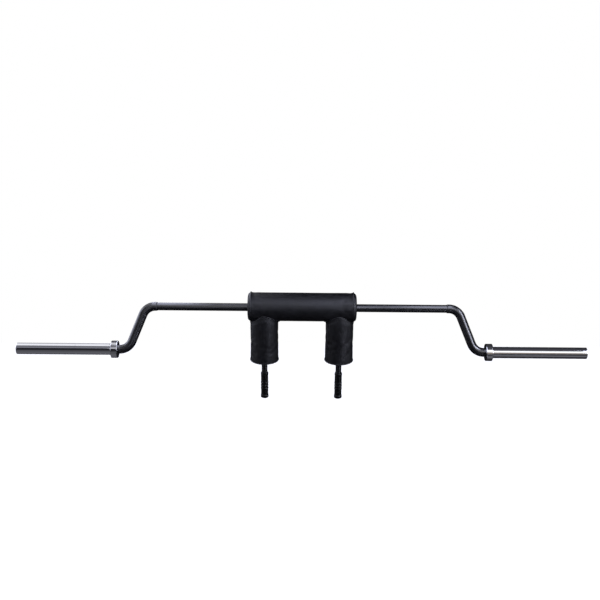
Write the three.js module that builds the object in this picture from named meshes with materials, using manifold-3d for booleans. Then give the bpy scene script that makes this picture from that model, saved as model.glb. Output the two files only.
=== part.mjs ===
// Safety squat bar as it hangs in a rack, in millimetres.
// The origin is the middle of the centre tube's axis. +X runs along the bar and +Z is up.
// The cambers hang straight down, and the handles hang down and back, towards +Y.
import * as THREE from 'three';
import { mergeVertices } from 'three/addons/utils/BufferGeometryUtils.js';
import Module from 'manifold-3d';

const wasm = await Module();
wasm.setup();

// Fits
const FIT_GAP = 0.3; // between two pieces that touch
const RUNNING_GAP = 0.4; // between a turning piece and a fixed one
const OVERRUN = 6; // how far a cutting shape passes what it cuts
const WELD_DISTANCE = 0.001; // vertices closer than this are one

// Centre tube
const CENTER_TUBE_LENGTH = 1244; // between the mouths of the two camber tubes
const CENTER_TUBE_DIAMETER = 33.7;
const CENTER_TUBE_WALL = 6;
const SPIGOT_DIAMETER = 24; // turned end that enters a camber tube
const SPIGOT_LENGTH = 14;

// Camber tubes
const SLEEVE_DROP = 185; // from the centre tube's axis down to the sleeves' axis
const CAMBER_TUBE_DIAMETER = 38;
const CAMBER_TUBE_WALL = 5;
const CAMBER_LEAD_LENGTH = 7; // straight stretch before the upper bend
const CAMBER_TAIL_LENGTH = 1; // straight stretch after the lower bend
const BEND_ANGLE = THREE.MathUtils.degToRad(68.2);
const BEND_RADIUS = 56; // of the tube's centre line
const WELD_LENGTH = 3; // weld bead that runs down from the mouth onto the centre tube
const WELD_TOE = 0.4; // height of the bead where it ends

// Spindles, which carry the sleeves
const NECK_DIAMETER = 34;
const NECK_LENGTH = 6.2; // shown between the camber tube and the plate collar
const JOURNAL_DIAMETER = 28;
const SPINDLE_SPIGOT_LENGTH = 10;
const SPINDLE_END_ROOM = 5; // between the spindle's end and the end cap
const SPINDLE_CHAMFER = 1.5;
const SNAP_RING_EDGE = 5; // from the snap ring's groove to the spindle's end
const SNAP_RING_THICKNESS = 1.6;
const SNAP_RING_WIDTH = 4;
const SNAP_RING_GROOVE_DEPTH = 1.5;
const SNAP_RING_OPENING = THREE.MathUtils.degToRad(40);

// Sleeves and what turns with them
const SLEEVE_DIAMETER = 49;
const SLEEVE_WALL = 4.5;
const SLEEVE_CHAMFER = 1.2;
const LOADABLE_LENGTH = 405; // from the plate collar's face to the sleeve's end
const COLLAR_DIAMETER = 74;
const COLLAR_WIDTH = 28;
const COLLAR_CHAMFER = 1.2;
const COLLAR_LIP_WIDTH = 4; // inboard lip that covers the sleeve's end
const COLLAR_LIP_ROOM = 1.2; // dark gap round the neck
const BUSHING_LENGTH = 45;
const WASHER_THICKNESS = 2.2;
const WASHER_ROOM = 1; // between a washer's rim and the sleeve's bore
const NECK_REACH = 3; // how far the neck runs past the collar's lip
const CAP_THICKNESS = 6;
const CAP_RECESS = 1.5; // below the sleeve's end
const CAP_DIMPLE_DEPTH = 2;
const CAP_RIM_WIDTH = 5;

// Handles
const HANDLE_SPACING = 324; // between the two handles' axes
const HANDLE_TILT = THREE.MathUtils.degToRad(20); // back from straight down
const HANDLE_DIAMETER = 25.4;
const HANDLE_WALL = 3;
const GRIP_START = 303.5; // along the handle, from the centre tube's axis
const GRIP_LENGTH = 120;
const GRIP_DIAMETER = 31.5;
const GRIP_END_WALL = 5;
const GRIP_RIM_LENGTH = 12;
const GRIP_RIM_HEIGHT = 0.7;
const GRIP_FLANGE_LENGTH = 15;
const GRIP_FLANGE_HEIGHT = 1.3;
const GRIP_EDGE = 2.2; // rounding of the closed end
const GRIP_BEVEL = 1.5; // slope at each side of the rim and the flange
const GRIP_RIB_COUNT = 3;
const GRIP_RIB_START = 43.5; // from the grip's open end to the first rib
const GRIP_RIB_PITCH = 13.5;
const GRIP_RIB_WIDTH = 8;
const GRIP_RIB_HEIGHT = 0.8;

// Pads: a foam roll in a sewn cover, with a piped seam and a puffed panel at each end
const COVER_THICKNESS = 3;
const CENTER_PAD_LENGTH = 438; // between its two end seams
const CENTER_PAD_RADIUS = 61.2; // at the waist
const CENTER_PAD_RISE = 3; // the foam is thicker on the side away from the handles
const CENTER_PAD_FLARE = 1.6;
const CENTER_PANEL_BULGE = 13.5;
const CENTER_PIPING_RADIUS = 2.6;
const HANDLE_PAD_LENGTH = 240; // from the centre tube's axis to the end seam
const HANDLE_PAD_RADIUS = 59.8; // at the waist
const HANDLE_PAD_FLARE = 1.4;
const HANDLE_PANEL_BULGE = 8;
const HANDLE_PIPING_RADIUS = 2;
const FLARE_POWER = 6; // the pad is nearly straight, and flares close to its ends
const PANEL_POWER = 4; // shape of a panel's puffed edge
const PANEL_RING_POWER = 1.5; // crowds a panel's rings towards its seam
const PANEL_HUB_SHARE = 0.92; // how far round its arch a panel has come at the tube
const SLIT_WIDTH = 5; // in the cover, under the closure
const FOAM_SLIT_WIDTH = 1;
const STRIP_THICKNESS = 1.1; // of hook tape and of loop tape
const STRIP_WIDTH = 17;
const FLAP_WIDTH = 34;
const STRIP_MARGIN = 14; // from the closure's end to the pad's end
const CENTER_CLOSURE_TURN = 25; // degrees up the back, clear of the handle pads

// Facets
const PAD_SEGMENTS = 30;
const PAD_RINGS = 6;
const PANEL_RINGS = 5;
const PIPING_SIDES = 6;
const TUBE_SEGMENTS = 24;
const BORE_SEGMENTS = 10;
const CAMBER_STEPS = 18;
const SLEEVE_SEGMENTS = 36;
const SPINDLE_SEGMENTS = 20;
const GRIP_SEGMENTS = 18;
const ARC_POINTS = 12;

// Finishes
const BLACK_PAINT = { color: 0x232328, roughness: 0.38, metalness: 0.35 };
const BARE_STEEL = { color: 0x8d8f94, roughness: 0.32, metalness: 1 };
const CHROME = { color: 0xd4d6da, roughness: 0.1, metalness: 1 };
const BRONZE = { color: 0xa7783c, roughness: 0.42, metalness: 1 };
const BLACK_LEATHERETTE = { color: 0x141418, roughness: 0.58, metalness: 0 };
const PIPING_CORD = { color: 0x1d1d22, roughness: 0.45, metalness: 0 };
const GREY_FOAM = { color: 0x3a3a3e, roughness: 0.95, metalness: 0 };
const BLACK_TAPE = { color: 0x101012, roughness: 0.9, metalness: 0 };
const BLACK_RUBBER = { color: 0x0d0d10, roughness: 0.6, metalness: 0 };
const CAP_PAINT = { color: 0x1a1a1d, roughness: 0.45, metalness: 0.2 };

// Sizes that follow from those above
const centerTubeRadius = CENTER_TUBE_DIAMETER / 2;
const camberTubeRadius = CAMBER_TUBE_DIAMETER / 2;
const handleRadius = HANDLE_DIAMETER / 2;
const gripRadius = GRIP_DIAMETER / 2;
const sleeveRadius = SLEEVE_DIAMETER / 2;
const sleeveBoreRadius = sleeveRadius - SLEEVE_WALL;
const collarRadius = COLLAR_DIAMETER / 2;
const journalRadius = JOURNAL_DIAMETER / 2;
const spigotRadius = SPIGOT_DIAMETER / 2;
const neckRadius = NECK_DIAMETER / 2;
const handleOffset = HANDLE_SPACING / 2;
const gripEnd = GRIP_START + GRIP_LENGTH;
const bendDrop = BEND_RADIUS * (1 - Math.cos(BEND_ANGLE));
const camberLegLength = (SLEEVE_DROP - 2 * bendDrop) / Math.sin(BEND_ANGLE);
const bendLength = BEND_RADIUS * BEND_ANGLE;

// Joins a geometry's shared vertices and gives it back as a solid whose faces point out.
function solid(geometry) {
  const bare = geometry.clone();
  bare.deleteAttribute('normal');
  bare.deleteAttribute('uv');
  const merged = mergeVertices(bare, WELD_DISTANCE);
  const corners = merged.index.array;
  const kept = [];
  for (let i = 0; i < corners.length; i += 3) {
    const [a, b, c] = corners.subarray(i, i + 3);
    if (a !== b && b !== c && c !== a) kept.push(a, b, c);
  }
  const build = () =>
    new wasm.Manifold(
      new wasm.Mesh({
        numProp: 3,
        vertProperties: merged.attributes.position.array,
        triVerts: new Uint32Array(kept),
      }),
    );
  const made = build();
  if (made.volume() >= 0) return made;
  kept.reverse();
  return build();
}

// A named mesh with a material of its own.
function piece(name, made, finish) {
  const { vertProperties, numProp, triVerts } = made.getMesh();
  const geometry = new THREE.BufferGeometry();
  geometry.setAttribute('position', new THREE.BufferAttribute(vertProperties, numProp));
  geometry.setIndex(new THREE.BufferAttribute(triVerts, 1));
  geometry.computeVertexNormals();
  const mesh = new THREE.Mesh(geometry, new THREE.MeshStandardMaterial(finish));
  mesh.name = name;
  return mesh;
}

// An outline of [radius, distance] points, turned about an axis.
function lathe(outline, segments) {
  const points = outline.map(([radius, distance]) => new THREE.Vector2(radius, distance));
  return new THREE.LatheGeometry(points, segments);
}

// Turned about the X axis, with the distances along +X.
function turned(outline, segments) {
  return solid(lathe(outline, segments).rotateZ(-Math.PI / 2));
}

// Turned about the Z axis, with the distances down along -Z.
function hung(outline, segments) {
  return solid(lathe(outline, segments).rotateX(-Math.PI / 2));
}

// A ring's outline between two radii and two distances.
function ringOutline(inner, outer, from, to) {
  return [[inner, from], [outer, from], [outer, to], [inner, to], [inner, from]];
}

// A solid rod's outline.
function rodOutline(radius, from, to) {
  return [[0, from], [radius, from], [radius, to], [0, to]];
}

// The corners of a regular polygon.
function circle(radius, sides) {
  const turn = (Math.PI * 2) / sides;
  return Array.from(
    { length: sides },
    (_, i) => new THREE.Vector2(radius * Math.cos(turn * i), radius * Math.sin(turn * i)),
  );
}

// A block given by its lowest corner and its size.
function block([x, y, z], [width, depth, height]) {
  const geometry = new THREE.BoxGeometry(width, depth, height);
  return solid(geometry.translate(x + width / 2, y + depth / 2, z + height / 2));
}

// A wedge round +Y that opens from one angle to the other, drawn out along +Z.
function wedge(fromAngle, toAngle, reach, length) {
  const shape = new THREE.Shape();
  shape.moveTo(0, 0);
  shape.lineTo(reach * Math.sin(fromAngle), reach * Math.cos(fromAngle));
  shape.lineTo(reach * Math.sin(toAngle), reach * Math.cos(toAngle));
  return new THREE.ExtrudeGeometry(shape, { depth: length, bevelEnabled: false });
}

// The camber tube's centre line: lead, bend down, leg, bend back, tail.
class CamberLine extends THREE.Curve {
  constructor() {
    super();
    this.stretches = [
      { length: CAMBER_LEAD_LENGTH, turn: 0 },
      { length: bendLength, turn: -BEND_ANGLE },
      { length: camberLegLength, turn: 0 },
      { length: bendLength, turn: BEND_ANGLE },
      { length: CAMBER_TAIL_LENGTH, turn: 0 },
    ];
    this.total = this.stretches.reduce((sum, { length }) => sum + length, 0);
  }

  getPoint(share, target = new THREE.Vector3()) {
    let [x, z, heading, left] = [0, 0, 0, share * this.total];
    for (const { length, turn } of this.stretches) {
      const part = Math.min(left, length);
      const swing = (turn * part) / length;
      const chord = swing ? (part * Math.sin(swing / 2)) / (swing / 2) : part;
      x += chord * Math.cos(heading + swing / 2);
      z += chord * Math.sin(heading + swing / 2);
      heading += swing;
      left -= part;
    }
    return target.set(x, 0, z);
  }
}

const camberLine = new CamberLine();
const camberEnd = camberLine.getPoint(1);

// The centre tube, with a turned spigot at each end.
function centerTube() {
  const shoulder = CENTER_TUBE_LENGTH / 2 - FIT_GAP;
  const end = CENTER_TUBE_LENGTH / 2 + SPIGOT_LENGTH;
  const bore = centerTubeRadius - CENTER_TUBE_WALL;
  const outline = [
    [bore, -end],
    [spigotRadius, -end],
    [spigotRadius, -shoulder],
    [centerTubeRadius, -shoulder],
    [centerTubeRadius, shoulder],
    [spigotRadius, shoulder],
    [spigotRadius, end],
    [bore, end],
    [bore, -end],
  ];
  return turned(outline, TUBE_SEGMENTS);
}

// A camber tube that starts at x = 0, with its weld bead reaching back over the centre tube.
function camberTube() {
  const section = new THREE.Shape(circle(camberTubeRadius, TUBE_SEGMENTS));
  section.holes.push(new THREE.Path(circle(camberTubeRadius - CAMBER_TUBE_WALL, BORE_SEGMENTS)));
  const tube = new THREE.ExtrudeGeometry(section, { steps: CAMBER_STEPS, extrudePath: camberLine });
  const inner = centerTubeRadius + FIT_GAP;
  const beadOutline = [
    [inner, -WELD_LENGTH],
    [inner + WELD_TOE, -WELD_LENGTH],
    [camberTubeRadius, 0],
    [camberTubeRadius, WELD_TOE],
    [inner, WELD_TOE],
    [inner, -WELD_LENGTH],
  ];
  return solid(tube).add(turned(beadOutline, TUBE_SEGMENTS));
}

// Places along one sleeve, counted outboard from the camber tube's end.
const collarFrom = NECK_LENGTH;
const collarTo = collarFrom + COLLAR_WIDTH;
const sleeveFrom = collarFrom + COLLAR_LIP_WIDTH + FIT_GAP;
const sleeveTo = collarTo + LOADABLE_LENGTH;
const neckTo = collarFrom + COLLAR_LIP_WIDTH + NECK_REACH;
const thrustFrom = neckTo + FIT_GAP;
const innerBushingFrom = thrustFrom + WASHER_THICKNESS + RUNNING_GAP;
const capTo = sleeveTo - CAP_RECESS;
const capFrom = capTo - CAP_THICKNESS;
const spindleTo = capFrom - SPINDLE_END_ROOM;
const grooveTo = spindleTo - SNAP_RING_EDGE;
const snapRingFrom = grooveTo - FIT_GAP - SNAP_RING_THICKNESS;
const grooveFrom = snapRingFrom - FIT_GAP;
const retainerTo = snapRingFrom - FIT_GAP;
const retainerFrom = retainerTo - WASHER_THICKNESS;
const outerBushingTo = retainerFrom - RUNNING_GAP;

// The fixed shaft inside a sleeve: spigot, neck, journal and the snap ring's groove.
function spindle() {
  const groove = journalRadius - SNAP_RING_GROOVE_DEPTH;
  const outline = [
    [0, -SPINDLE_SPIGOT_LENGTH],
    [spigotRadius, -SPINDLE_SPIGOT_LENGTH],
    [spigotRadius, FIT_GAP],
    [neckRadius, FIT_GAP],
    [neckRadius, neckTo],
    [journalRadius, neckTo],
    [journalRadius, grooveFrom],
    [groove, grooveFrom],
    [groove, grooveTo],
    [journalRadius, grooveTo],
    [journalRadius, spindleTo - SPINDLE_CHAMFER],
    [journalRadius - SPINDLE_CHAMFER, spindleTo],
    [0, spindleTo],
  ];
  return turned(outline, SPINDLE_SEGMENTS);
}

// A washer on the journal.
function washer(from) {
  const inner = journalRadius + FIT_GAP;
  const outer = sleeveBoreRadius - WASHER_ROOM;
  return turned(ringOutline(inner, outer, from, from + WASHER_THICKNESS), SPINDLE_SEGMENTS);
}

// The open ring that snaps into the spindle's groove.
function snapRing() {
  const inner = journalRadius - SNAP_RING_GROOVE_DEPTH + FIT_GAP;
  const outer = inner + SNAP_RING_WIDTH;
  const [first, last] = [SNAP_RING_OPENING / 2, Math.PI * 2 - SNAP_RING_OPENING / 2];
  const shape = new THREE.Shape();
  shape.absarc(0, 0, outer, first, last, false);
  shape.absarc(0, 0, inner, last, first, true);
  const options = { depth: SNAP_RING_THICKNESS, bevelEnabled: false, curveSegments: ARC_POINTS };
  const geometry = new THREE.ExtrudeGeometry(shape, options);
  return solid(geometry.rotateY(Math.PI / 2).translate(snapRingFrom, 0, 0));
}

// The chromed tube that takes the plates.
function sleeve() {
  const outline = [
    [sleeveBoreRadius, sleeveFrom],
    [sleeveRadius, sleeveFrom],
    [sleeveRadius, sleeveTo - SLEEVE_CHAMFER],
    [sleeveRadius - SLEEVE_CHAMFER, sleeveTo],
    [sleeveBoreRadius, sleeveTo],
    [sleeveBoreRadius, sleeveFrom],
  ];
  return turned(outline, SLEEVE_SEGMENTS);
}

// The plate collar, whose inboard lip hides the sleeve's end.
function plateCollar() {
  const lip = neckRadius + COLLAR_LIP_ROOM;
  const bore = sleeveRadius + FIT_GAP;
  const outline = [
    [lip, collarFrom],
    [collarRadius - COLLAR_CHAMFER, collarFrom],
    [collarRadius, collarFrom + COLLAR_CHAMFER],
    [collarRadius, collarTo - COLLAR_CHAMFER],
    [collarRadius - COLLAR_CHAMFER, collarTo],
    [bore, collarTo],
    [bore, collarFrom + COLLAR_LIP_WIDTH],
    [lip, collarFrom + COLLAR_LIP_WIDTH],
    [lip, collarFrom],
  ];
  return turned(outline, SLEEVE_SEGMENTS);
}

// A plain bushing pressed into the sleeve's bore.
function bushing(from) {
  const inner = journalRadius + RUNNING_GAP;
  const outer = sleeveBoreRadius - FIT_GAP;
  return turned(ringOutline(inner, outer, from, from + BUSHING_LENGTH), SPINDLE_SEGMENTS);
}

// The dished cap in the sleeve's mouth.
function endCap() {
  const outer = sleeveBoreRadius - FIT_GAP;
  const dish = outer - CAP_RIM_WIDTH;
  const outline = [
    [0, capFrom],
    [outer, capFrom],
    [outer, capTo],
    [dish, capTo],
    [dish - CAP_DIMPLE_DEPTH, capTo - CAP_DIMPLE_DEPTH],
    [0, capTo - CAP_DIMPLE_DEPTH],
  ];
  return turned(outline, SPINDLE_SEGMENTS);
}

// The handle tube, whose upper end is coped to sit on the centre tube.
function handleTube() {
  const to = gripEnd - GRIP_END_WALL - FIT_GAP;
  const tube = hung(ringOutline(handleRadius - HANDLE_WALL, handleRadius, 0, to), TUBE_SEGMENTS);
  const seat = rodOutline(centerTubeRadius + FIT_GAP, -centerTubeRadius, centerTubeRadius);
  return tube.subtract(turned(seat, TUBE_SEGMENTS));
}

// The ribbed rubber grip, closed at its lower end.
function grip() {
  const bore = handleRadius + FIT_GAP;
  const rim = gripRadius + GRIP_RIM_HEIGHT;
  const flange = gripRadius + GRIP_FLANGE_HEIGHT;
  const rib = gripRadius + GRIP_RIB_HEIGHT;
  const rimTo = GRIP_START + GRIP_RIM_LENGTH;
  const flangeFrom = gripEnd - GRIP_FLANGE_LENGTH;
  const outline = [
    [bore, GRIP_START],
    [rim - GRIP_BEVEL, GRIP_START],
    [rim, GRIP_START + GRIP_BEVEL],
    [rim, rimTo - GRIP_BEVEL],
    [gripRadius, rimTo],
  ];
  for (let i = 0; i < GRIP_RIB_COUNT; i += 1) {
    const from = GRIP_START + GRIP_RIB_START + i * GRIP_RIB_PITCH;
    const to = from + GRIP_RIB_WIDTH;
    outline.push([gripRadius, from], [rib, from + GRIP_BEVEL], [rib, to - GRIP_BEVEL], [gripRadius, to]);
  }
  outline.push(
    [gripRadius, flangeFrom],
    [flange, flangeFrom + GRIP_BEVEL],
    [flange, gripEnd - GRIP_EDGE],
    [flange - GRIP_EDGE, gripEnd],
    [0, gripEnd],
    [0, gripEnd - GRIP_END_WALL],
    [bore, gripEnd - GRIP_END_WALL],
    [bore, GRIP_START],
  );
  return hung(outline, GRIP_SEGMENTS);
}

// The sizes that a pad's pieces share. `to` is where its end seam lies.
function padSizes(radius, flare, piping, to) {
  return {
    radius,
    flare,
    piping,
    to,
    inner: radius - COVER_THICKNESS,
    pipingCenter: radius + flare,
    seam: radius + flare - piping - FIT_GAP,
    shoulder: to - piping - FIT_GAP,
  };
}

// The pad's outer radius at a distance along it.
function padRadius({ radius, flare, to }, distance) {
  return radius + flare * (Math.abs(distance) / to) ** FLARE_POWER;
}

// The crowned outer line of a pad, grown by a gap, from one distance to another.
// Its points crowd towards the flared ends: both of them when it starts below zero.
function crownLine(pad, from, to, gap) {
  const eased = from < 0 ? (t) => (1 - Math.cos(Math.PI * t)) / 2 : (t) => Math.sin((Math.PI * t) / 2);
  return Array.from({ length: PAD_RINGS + 1 }, (_, i) => {
    const distance = from + (to - from) * eased(i / PAD_RINGS);
    return [padRadius(pad, distance) + gap, distance];
  });
}

// A cover's closed outline. It draws in to a piped seam at one end, or at both.
function coverOutline(pad, bothEnds) {
  const from = bothEnds ? -pad.shoulder : 0;
  const seamed = [[pad.inner, -pad.to], [pad.seam, -pad.to], [pad.seam, from]];
  const start = bothEnds ? seamed : [[pad.inner, from]];
  const crown = crownLine(pad, from, pad.shoulder, 0);
  const end = [[pad.seam, pad.shoulder], [pad.seam, pad.to], [pad.inner, pad.to]];
  return [...start, ...crown, ...end, start[0]];
}

// The piping cord sewn round a pad's end.
function pipingOutline({ piping, pipingCenter, to }) {
  const turn = (Math.PI * 2) / PIPING_SIDES;
  return Array.from({ length: PIPING_SIDES + 1 }, (_, i) => [
    pipingCenter + piping * Math.cos(turn * i),
    to + piping * Math.sin(turn * i),
  ]);
}

// The puffed panel that closes a pad's end, with a hole for the tube.
function panelOutline({ seam, shoulder, to }, hole, bulge) {
  const base = to + FIT_GAP;
  const edge = to + (to - shoulder);
  const arch = Array.from({ length: PANEL_RINGS + 1 }, (_, i) => {
    const share = (i / PANEL_RINGS) ** PANEL_RING_POWER * PANEL_HUB_SHARE;
    const height = Math.sqrt(1 - Math.abs(2 * share - 1) ** PANEL_POWER);
    const radius = seam + ((hole - seam) * share) / PANEL_HUB_SHARE;
    return [radius, edge + (bulge - (edge - to)) * height];
  });
  return [[hole, base], [seam, base], ...arch, [hole, base]];
}

// Two tapes along a pad's back: the loop tape lies on the cover, and the flap reaches over it.
function closure(pad, ring, cut) {
  const loopTo = padRadius(pad, 0) + FIT_GAP + STRIP_THICKNESS;
  const slitAngle = SLIT_WIDTH / 2 / pad.radius;
  const stripAngle = slitAngle + STRIP_WIDTH / pad.radius;
  const flapAngle = FLAP_WIDTH / 2 / pad.radius;
  const under = ring(FIT_GAP, STRIP_THICKNESS);
  const over = ring(FIT_GAP + STRIP_THICKNESS + FIT_GAP, STRIP_THICKNESS);
  const reach = 2 * loopTo;
  const loop = under.intersect(cut(slitAngle, stripAngle, reach));
  const hinge = ring(FIT_GAP, 2 * STRIP_THICKNESS + FIT_GAP).intersect(cut(-flapAngle, -slitAngle, reach));
  const flap = over.intersect(cut(-flapAngle, flapAngle, reach)).add(hinge);
  return { loop, flap };
}

const centerPad = padSizes(
  CENTER_PAD_RADIUS,
  CENTER_PAD_FLARE,
  CENTER_PIPING_RADIUS,
  CENTER_PAD_LENGTH / 2,
);
const handlePad = padSizes(
  HANDLE_PAD_RADIUS,
  HANDLE_PAD_FLARE,
  HANDLE_PIPING_RADIUS,
  HANDLE_PAD_LENGTH,
);

// The centre pad's outer form with a gap round it, which copes what butts against it.
function centerPadForm(gap) {
  const reach = centerPad.shoulder;
  const end = centerPad.to + CENTER_PANEL_BULGE + gap;
  const collar = centerPad.pipingCenter + centerPad.piping + gap;
  const crown = crownLine(centerPad, -reach, reach, gap);
  const outline = [
    [0, -end],
    [collar, -end],
    [collar, -reach],
    ...crown,
    [collar, reach],
    [collar, end],
    [0, end],
  ];
  return turned(outline, PAD_SEGMENTS).translate([0, 0, CENTER_PAD_RISE]);
}

// The hole that the centre tube needs through the pad's ends and its foam.
function tubeHole() {
  const outline = rodOutline(centerTubeRadius + FIT_GAP, -CENTER_PAD_LENGTH, CENTER_PAD_LENGTH);
  return turned(outline, TUBE_SEGMENTS);
}

// The hole that a handle needs in the centre pad, on side 1 or -1.
function handleHole(side) {
  const hole = hung(rodOutline(handleRadius + FIT_GAP, 0, CENTER_PAD_LENGTH), TUBE_SEGMENTS);
  return hole.translate([side * handleOffset, 0, 0]);
}

// A lengthwise slit in the centre pad's back wall.
function centerSlit(width) {
  const corner = [-CENTER_PAD_LENGTH, 0, -width / 2];
  return block(corner, [2 * CENTER_PAD_LENGTH, CENTER_PAD_LENGTH, width])
    .rotate([CENTER_CLOSURE_TURN, 0, 0])
    .translate([0, 0, CENTER_PAD_RISE]);
}

// A lengthwise slit in a handle pad's back wall.
function handleSlit(width) {
  const length = HANDLE_PAD_LENGTH + OVERRUN;
  return block([-width / 2, 0, -length], [width, HANDLE_PAD_LENGTH, length]);
}

function centerFoam() {
  const outline = rodOutline(centerPad.inner - FIT_GAP, -centerPad.to, centerPad.to);
  return turned(outline, PAD_SEGMENTS)
    .translate([0, 0, CENTER_PAD_RISE])
    .subtract(tubeHole())
    .subtract(handleHole(1))
    .subtract(handleHole(-1))
    .subtract(centerSlit(FOAM_SLIT_WIDTH));
}

function centerCover() {
  return turned(coverOutline(centerPad, true), PAD_SEGMENTS)
    .translate([0, 0, CENTER_PAD_RISE])
    .subtract(handleHole(1))
    .subtract(handleHole(-1))
    .subtract(centerSlit(SLIT_WIDTH));
}

function centerPanel() {
  const hub = centerTubeRadius + FIT_GAP;
  const outline = panelOutline(centerPad, hub - CENTER_PAD_RISE, CENTER_PANEL_BULGE);
  return turned(outline, PAD_SEGMENTS)
    .translate([0, 0, CENTER_PAD_RISE])
    .subtract(tubeHole());
}

function centerPiping() {
  return turned(pipingOutline(centerPad), PAD_SEGMENTS).translate([0, 0, CENTER_PAD_RISE]);
}

function centerClosure() {
  const half = centerPad.to - STRIP_MARGIN;
  const ring = (gap, thickness) => {
    const crown = crownLine(centerPad, -half, half, gap);
    const outer = crown.map(([radius, distance]) => [radius + thickness, distance]).reverse();
    return turned([...crown, ...outer, crown[0]], PAD_SEGMENTS);
  };
  const cut = (from, to, reach) => {
    const sector = wedge(from, to, reach, 2 * half + 2 * OVERRUN).rotateY(Math.PI / 2);
    return solid(sector.translate(-half - OVERRUN, 0, 0)).rotate([CENTER_CLOSURE_TURN, 0, 0]);
  };
  const { loop, flap } = closure(centerPad, ring, cut);
  return { loop: loop.translate([0, 0, CENTER_PAD_RISE]), flap: flap.translate([0, 0, CENTER_PAD_RISE]) };
}

// What the centre pad takes from a handle pad's upper end, in the handle's own frame.
function copeForm() {
  return centerPadForm(FIT_GAP).translate([-handleOffset, 0, 0]);
}

function handleFoam() {
  const outline = ringOutline(handleRadius + FIT_GAP, handlePad.inner - FIT_GAP, 0, handlePad.to);
  return hung(outline, PAD_SEGMENTS).subtract(copeForm()).subtract(handleSlit(FOAM_SLIT_WIDTH));
}

function handleCover() {
  return hung(coverOutline(handlePad, false), PAD_SEGMENTS)
    .subtract(copeForm())
    .subtract(handleSlit(SLIT_WIDTH));
}

function handlePanel() {
  return hung(panelOutline(handlePad, handleRadius + FIT_GAP, HANDLE_PANEL_BULGE), PAD_SEGMENTS);
}

function handlePiping() {
  return hung(pipingOutline(handlePad), PAD_SEGMENTS);
}

function handleClosure() {
  const from = CENTER_PAD_RADIUS + STRIP_MARGIN;
  const to = handlePad.to - STRIP_MARGIN;
  const ring = (gap, thickness) => {
    const crown = crownLine(handlePad, from, to, gap);
    const outer = crown.map(([radius, distance]) => [radius + thickness, distance]).reverse();
    return hung([...crown, ...outer, crown[0]], PAD_SEGMENTS);
  };
  const cut = (first, last, reach) => {
    const sector = wedge(first, last, reach, to + OVERRUN);
    return solid(sector.translate(0, 0, -to - OVERRUN));
  };
  return closure(handlePad, ring, cut);
}

const bar = new THREE.Group();
bar.add(piece('center_tube', centerTube(), BLACK_PAINT));

// The pads and handles share a frame that is tilted about the centre tube's axis.
const tilted = new THREE.Group();
tilted.rotation.x = HANDLE_TILT;
bar.add(tilted);

const centerTapes = centerClosure();
tilted.add(
  piece('center_foam', centerFoam(), GREY_FOAM),
  piece('center_cover', centerCover(), BLACK_LEATHERETTE),
  piece('center_loop_tape', centerTapes.loop, BLACK_TAPE),
  piece('center_flap', centerTapes.flap, BLACK_LEATHERETTE),
);

// Each half is built for +X, and the left one is mirrored.
const sides = [
  { name: 'left', sign: -1 },
  { name: 'right', sign: 1 },
];
for (const { name, sign } of sides) {
  const padEnd = new THREE.Group();
  padEnd.scale.x = sign;
  padEnd.add(
    piece(`center_panel_${name}`, centerPanel(), BLACK_LEATHERETTE),
    piece(`center_piping_${name}`, centerPiping(), PIPING_CORD),
  );

  const handle = new THREE.Group();
  handle.position.x = sign * handleOffset;
  handle.scale.x = sign;
  const tapes = handleClosure();
  handle.add(
    piece(`${name}_handle_tube`, handleTube(), BLACK_PAINT),
    piece(`${name}_handle_foam`, handleFoam(), GREY_FOAM),
    piece(`${name}_handle_cover`, handleCover(), BLACK_LEATHERETTE),
    piece(`${name}_handle_panel`, handlePanel(), BLACK_LEATHERETTE),
    piece(`${name}_handle_piping`, handlePiping(), PIPING_CORD),
    piece(`${name}_handle_loop_tape`, tapes.loop, BLACK_TAPE),
    piece(`${name}_handle_flap`, tapes.flap, BLACK_LEATHERETTE),
    piece(`${name}_grip`, grip(), BLACK_RUBBER),
  );
  tilted.add(padEnd, handle);

  const half = new THREE.Group();
  half.scale.x = sign;
  const camber = piece(`${name}_camber_tube`, camberTube(), BLACK_PAINT);
  camber.position.x = CENTER_TUBE_LENGTH / 2;

  const sleeveFrame = new THREE.Group();
  sleeveFrame.position.set(CENTER_TUBE_LENGTH / 2 + camberEnd.x, 0, camberEnd.z);
  sleeveFrame.add(
    piece(`${name}_spindle`, spindle(), BLACK_PAINT),
    piece(`${name}_thrust_washer`, washer(thrustFrom), BARE_STEEL),
    piece(`${name}_retaining_washer`, washer(retainerFrom), BARE_STEEL),
    piece(`${name}_snap_ring`, snapRing(), BARE_STEEL),
    piece(`${name}_inner_bushing`, bushing(innerBushingFrom), BRONZE),
    piece(`${name}_outer_bushing`, bushing(outerBushingTo - BUSHING_LENGTH), BRONZE),
    piece(`${name}_sleeve`, sleeve(), CHROME),
    piece(`${name}_plate_collar`, plateCollar(), CHROME),
    piece(`${name}_end_cap`, endCap(), CAP_PAINT),
  );
  half.add(camber, sleeveFrame);
  bar.add(half);
}

export default bar;
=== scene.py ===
"""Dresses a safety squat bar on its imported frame.

Lengths are in metres in the bar's own frame: X runs along the bar, Z is up, and the handles
lean back towards +Y. The bar hangs as it does in a rack, with the floor well below it.
"""

import logging
import math
from collections.abc import Callable
from dataclasses import dataclass
from enum import Enum

import bmesh
import bpy
from bmesh.types import BMEdge, BMesh, BMVert
from bpy.types import Material, Node, NodeSocket, NodeTree, Object
from mathutils import Matrix, Vector, noise
from mathutils.bvhtree import BVHTree


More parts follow.
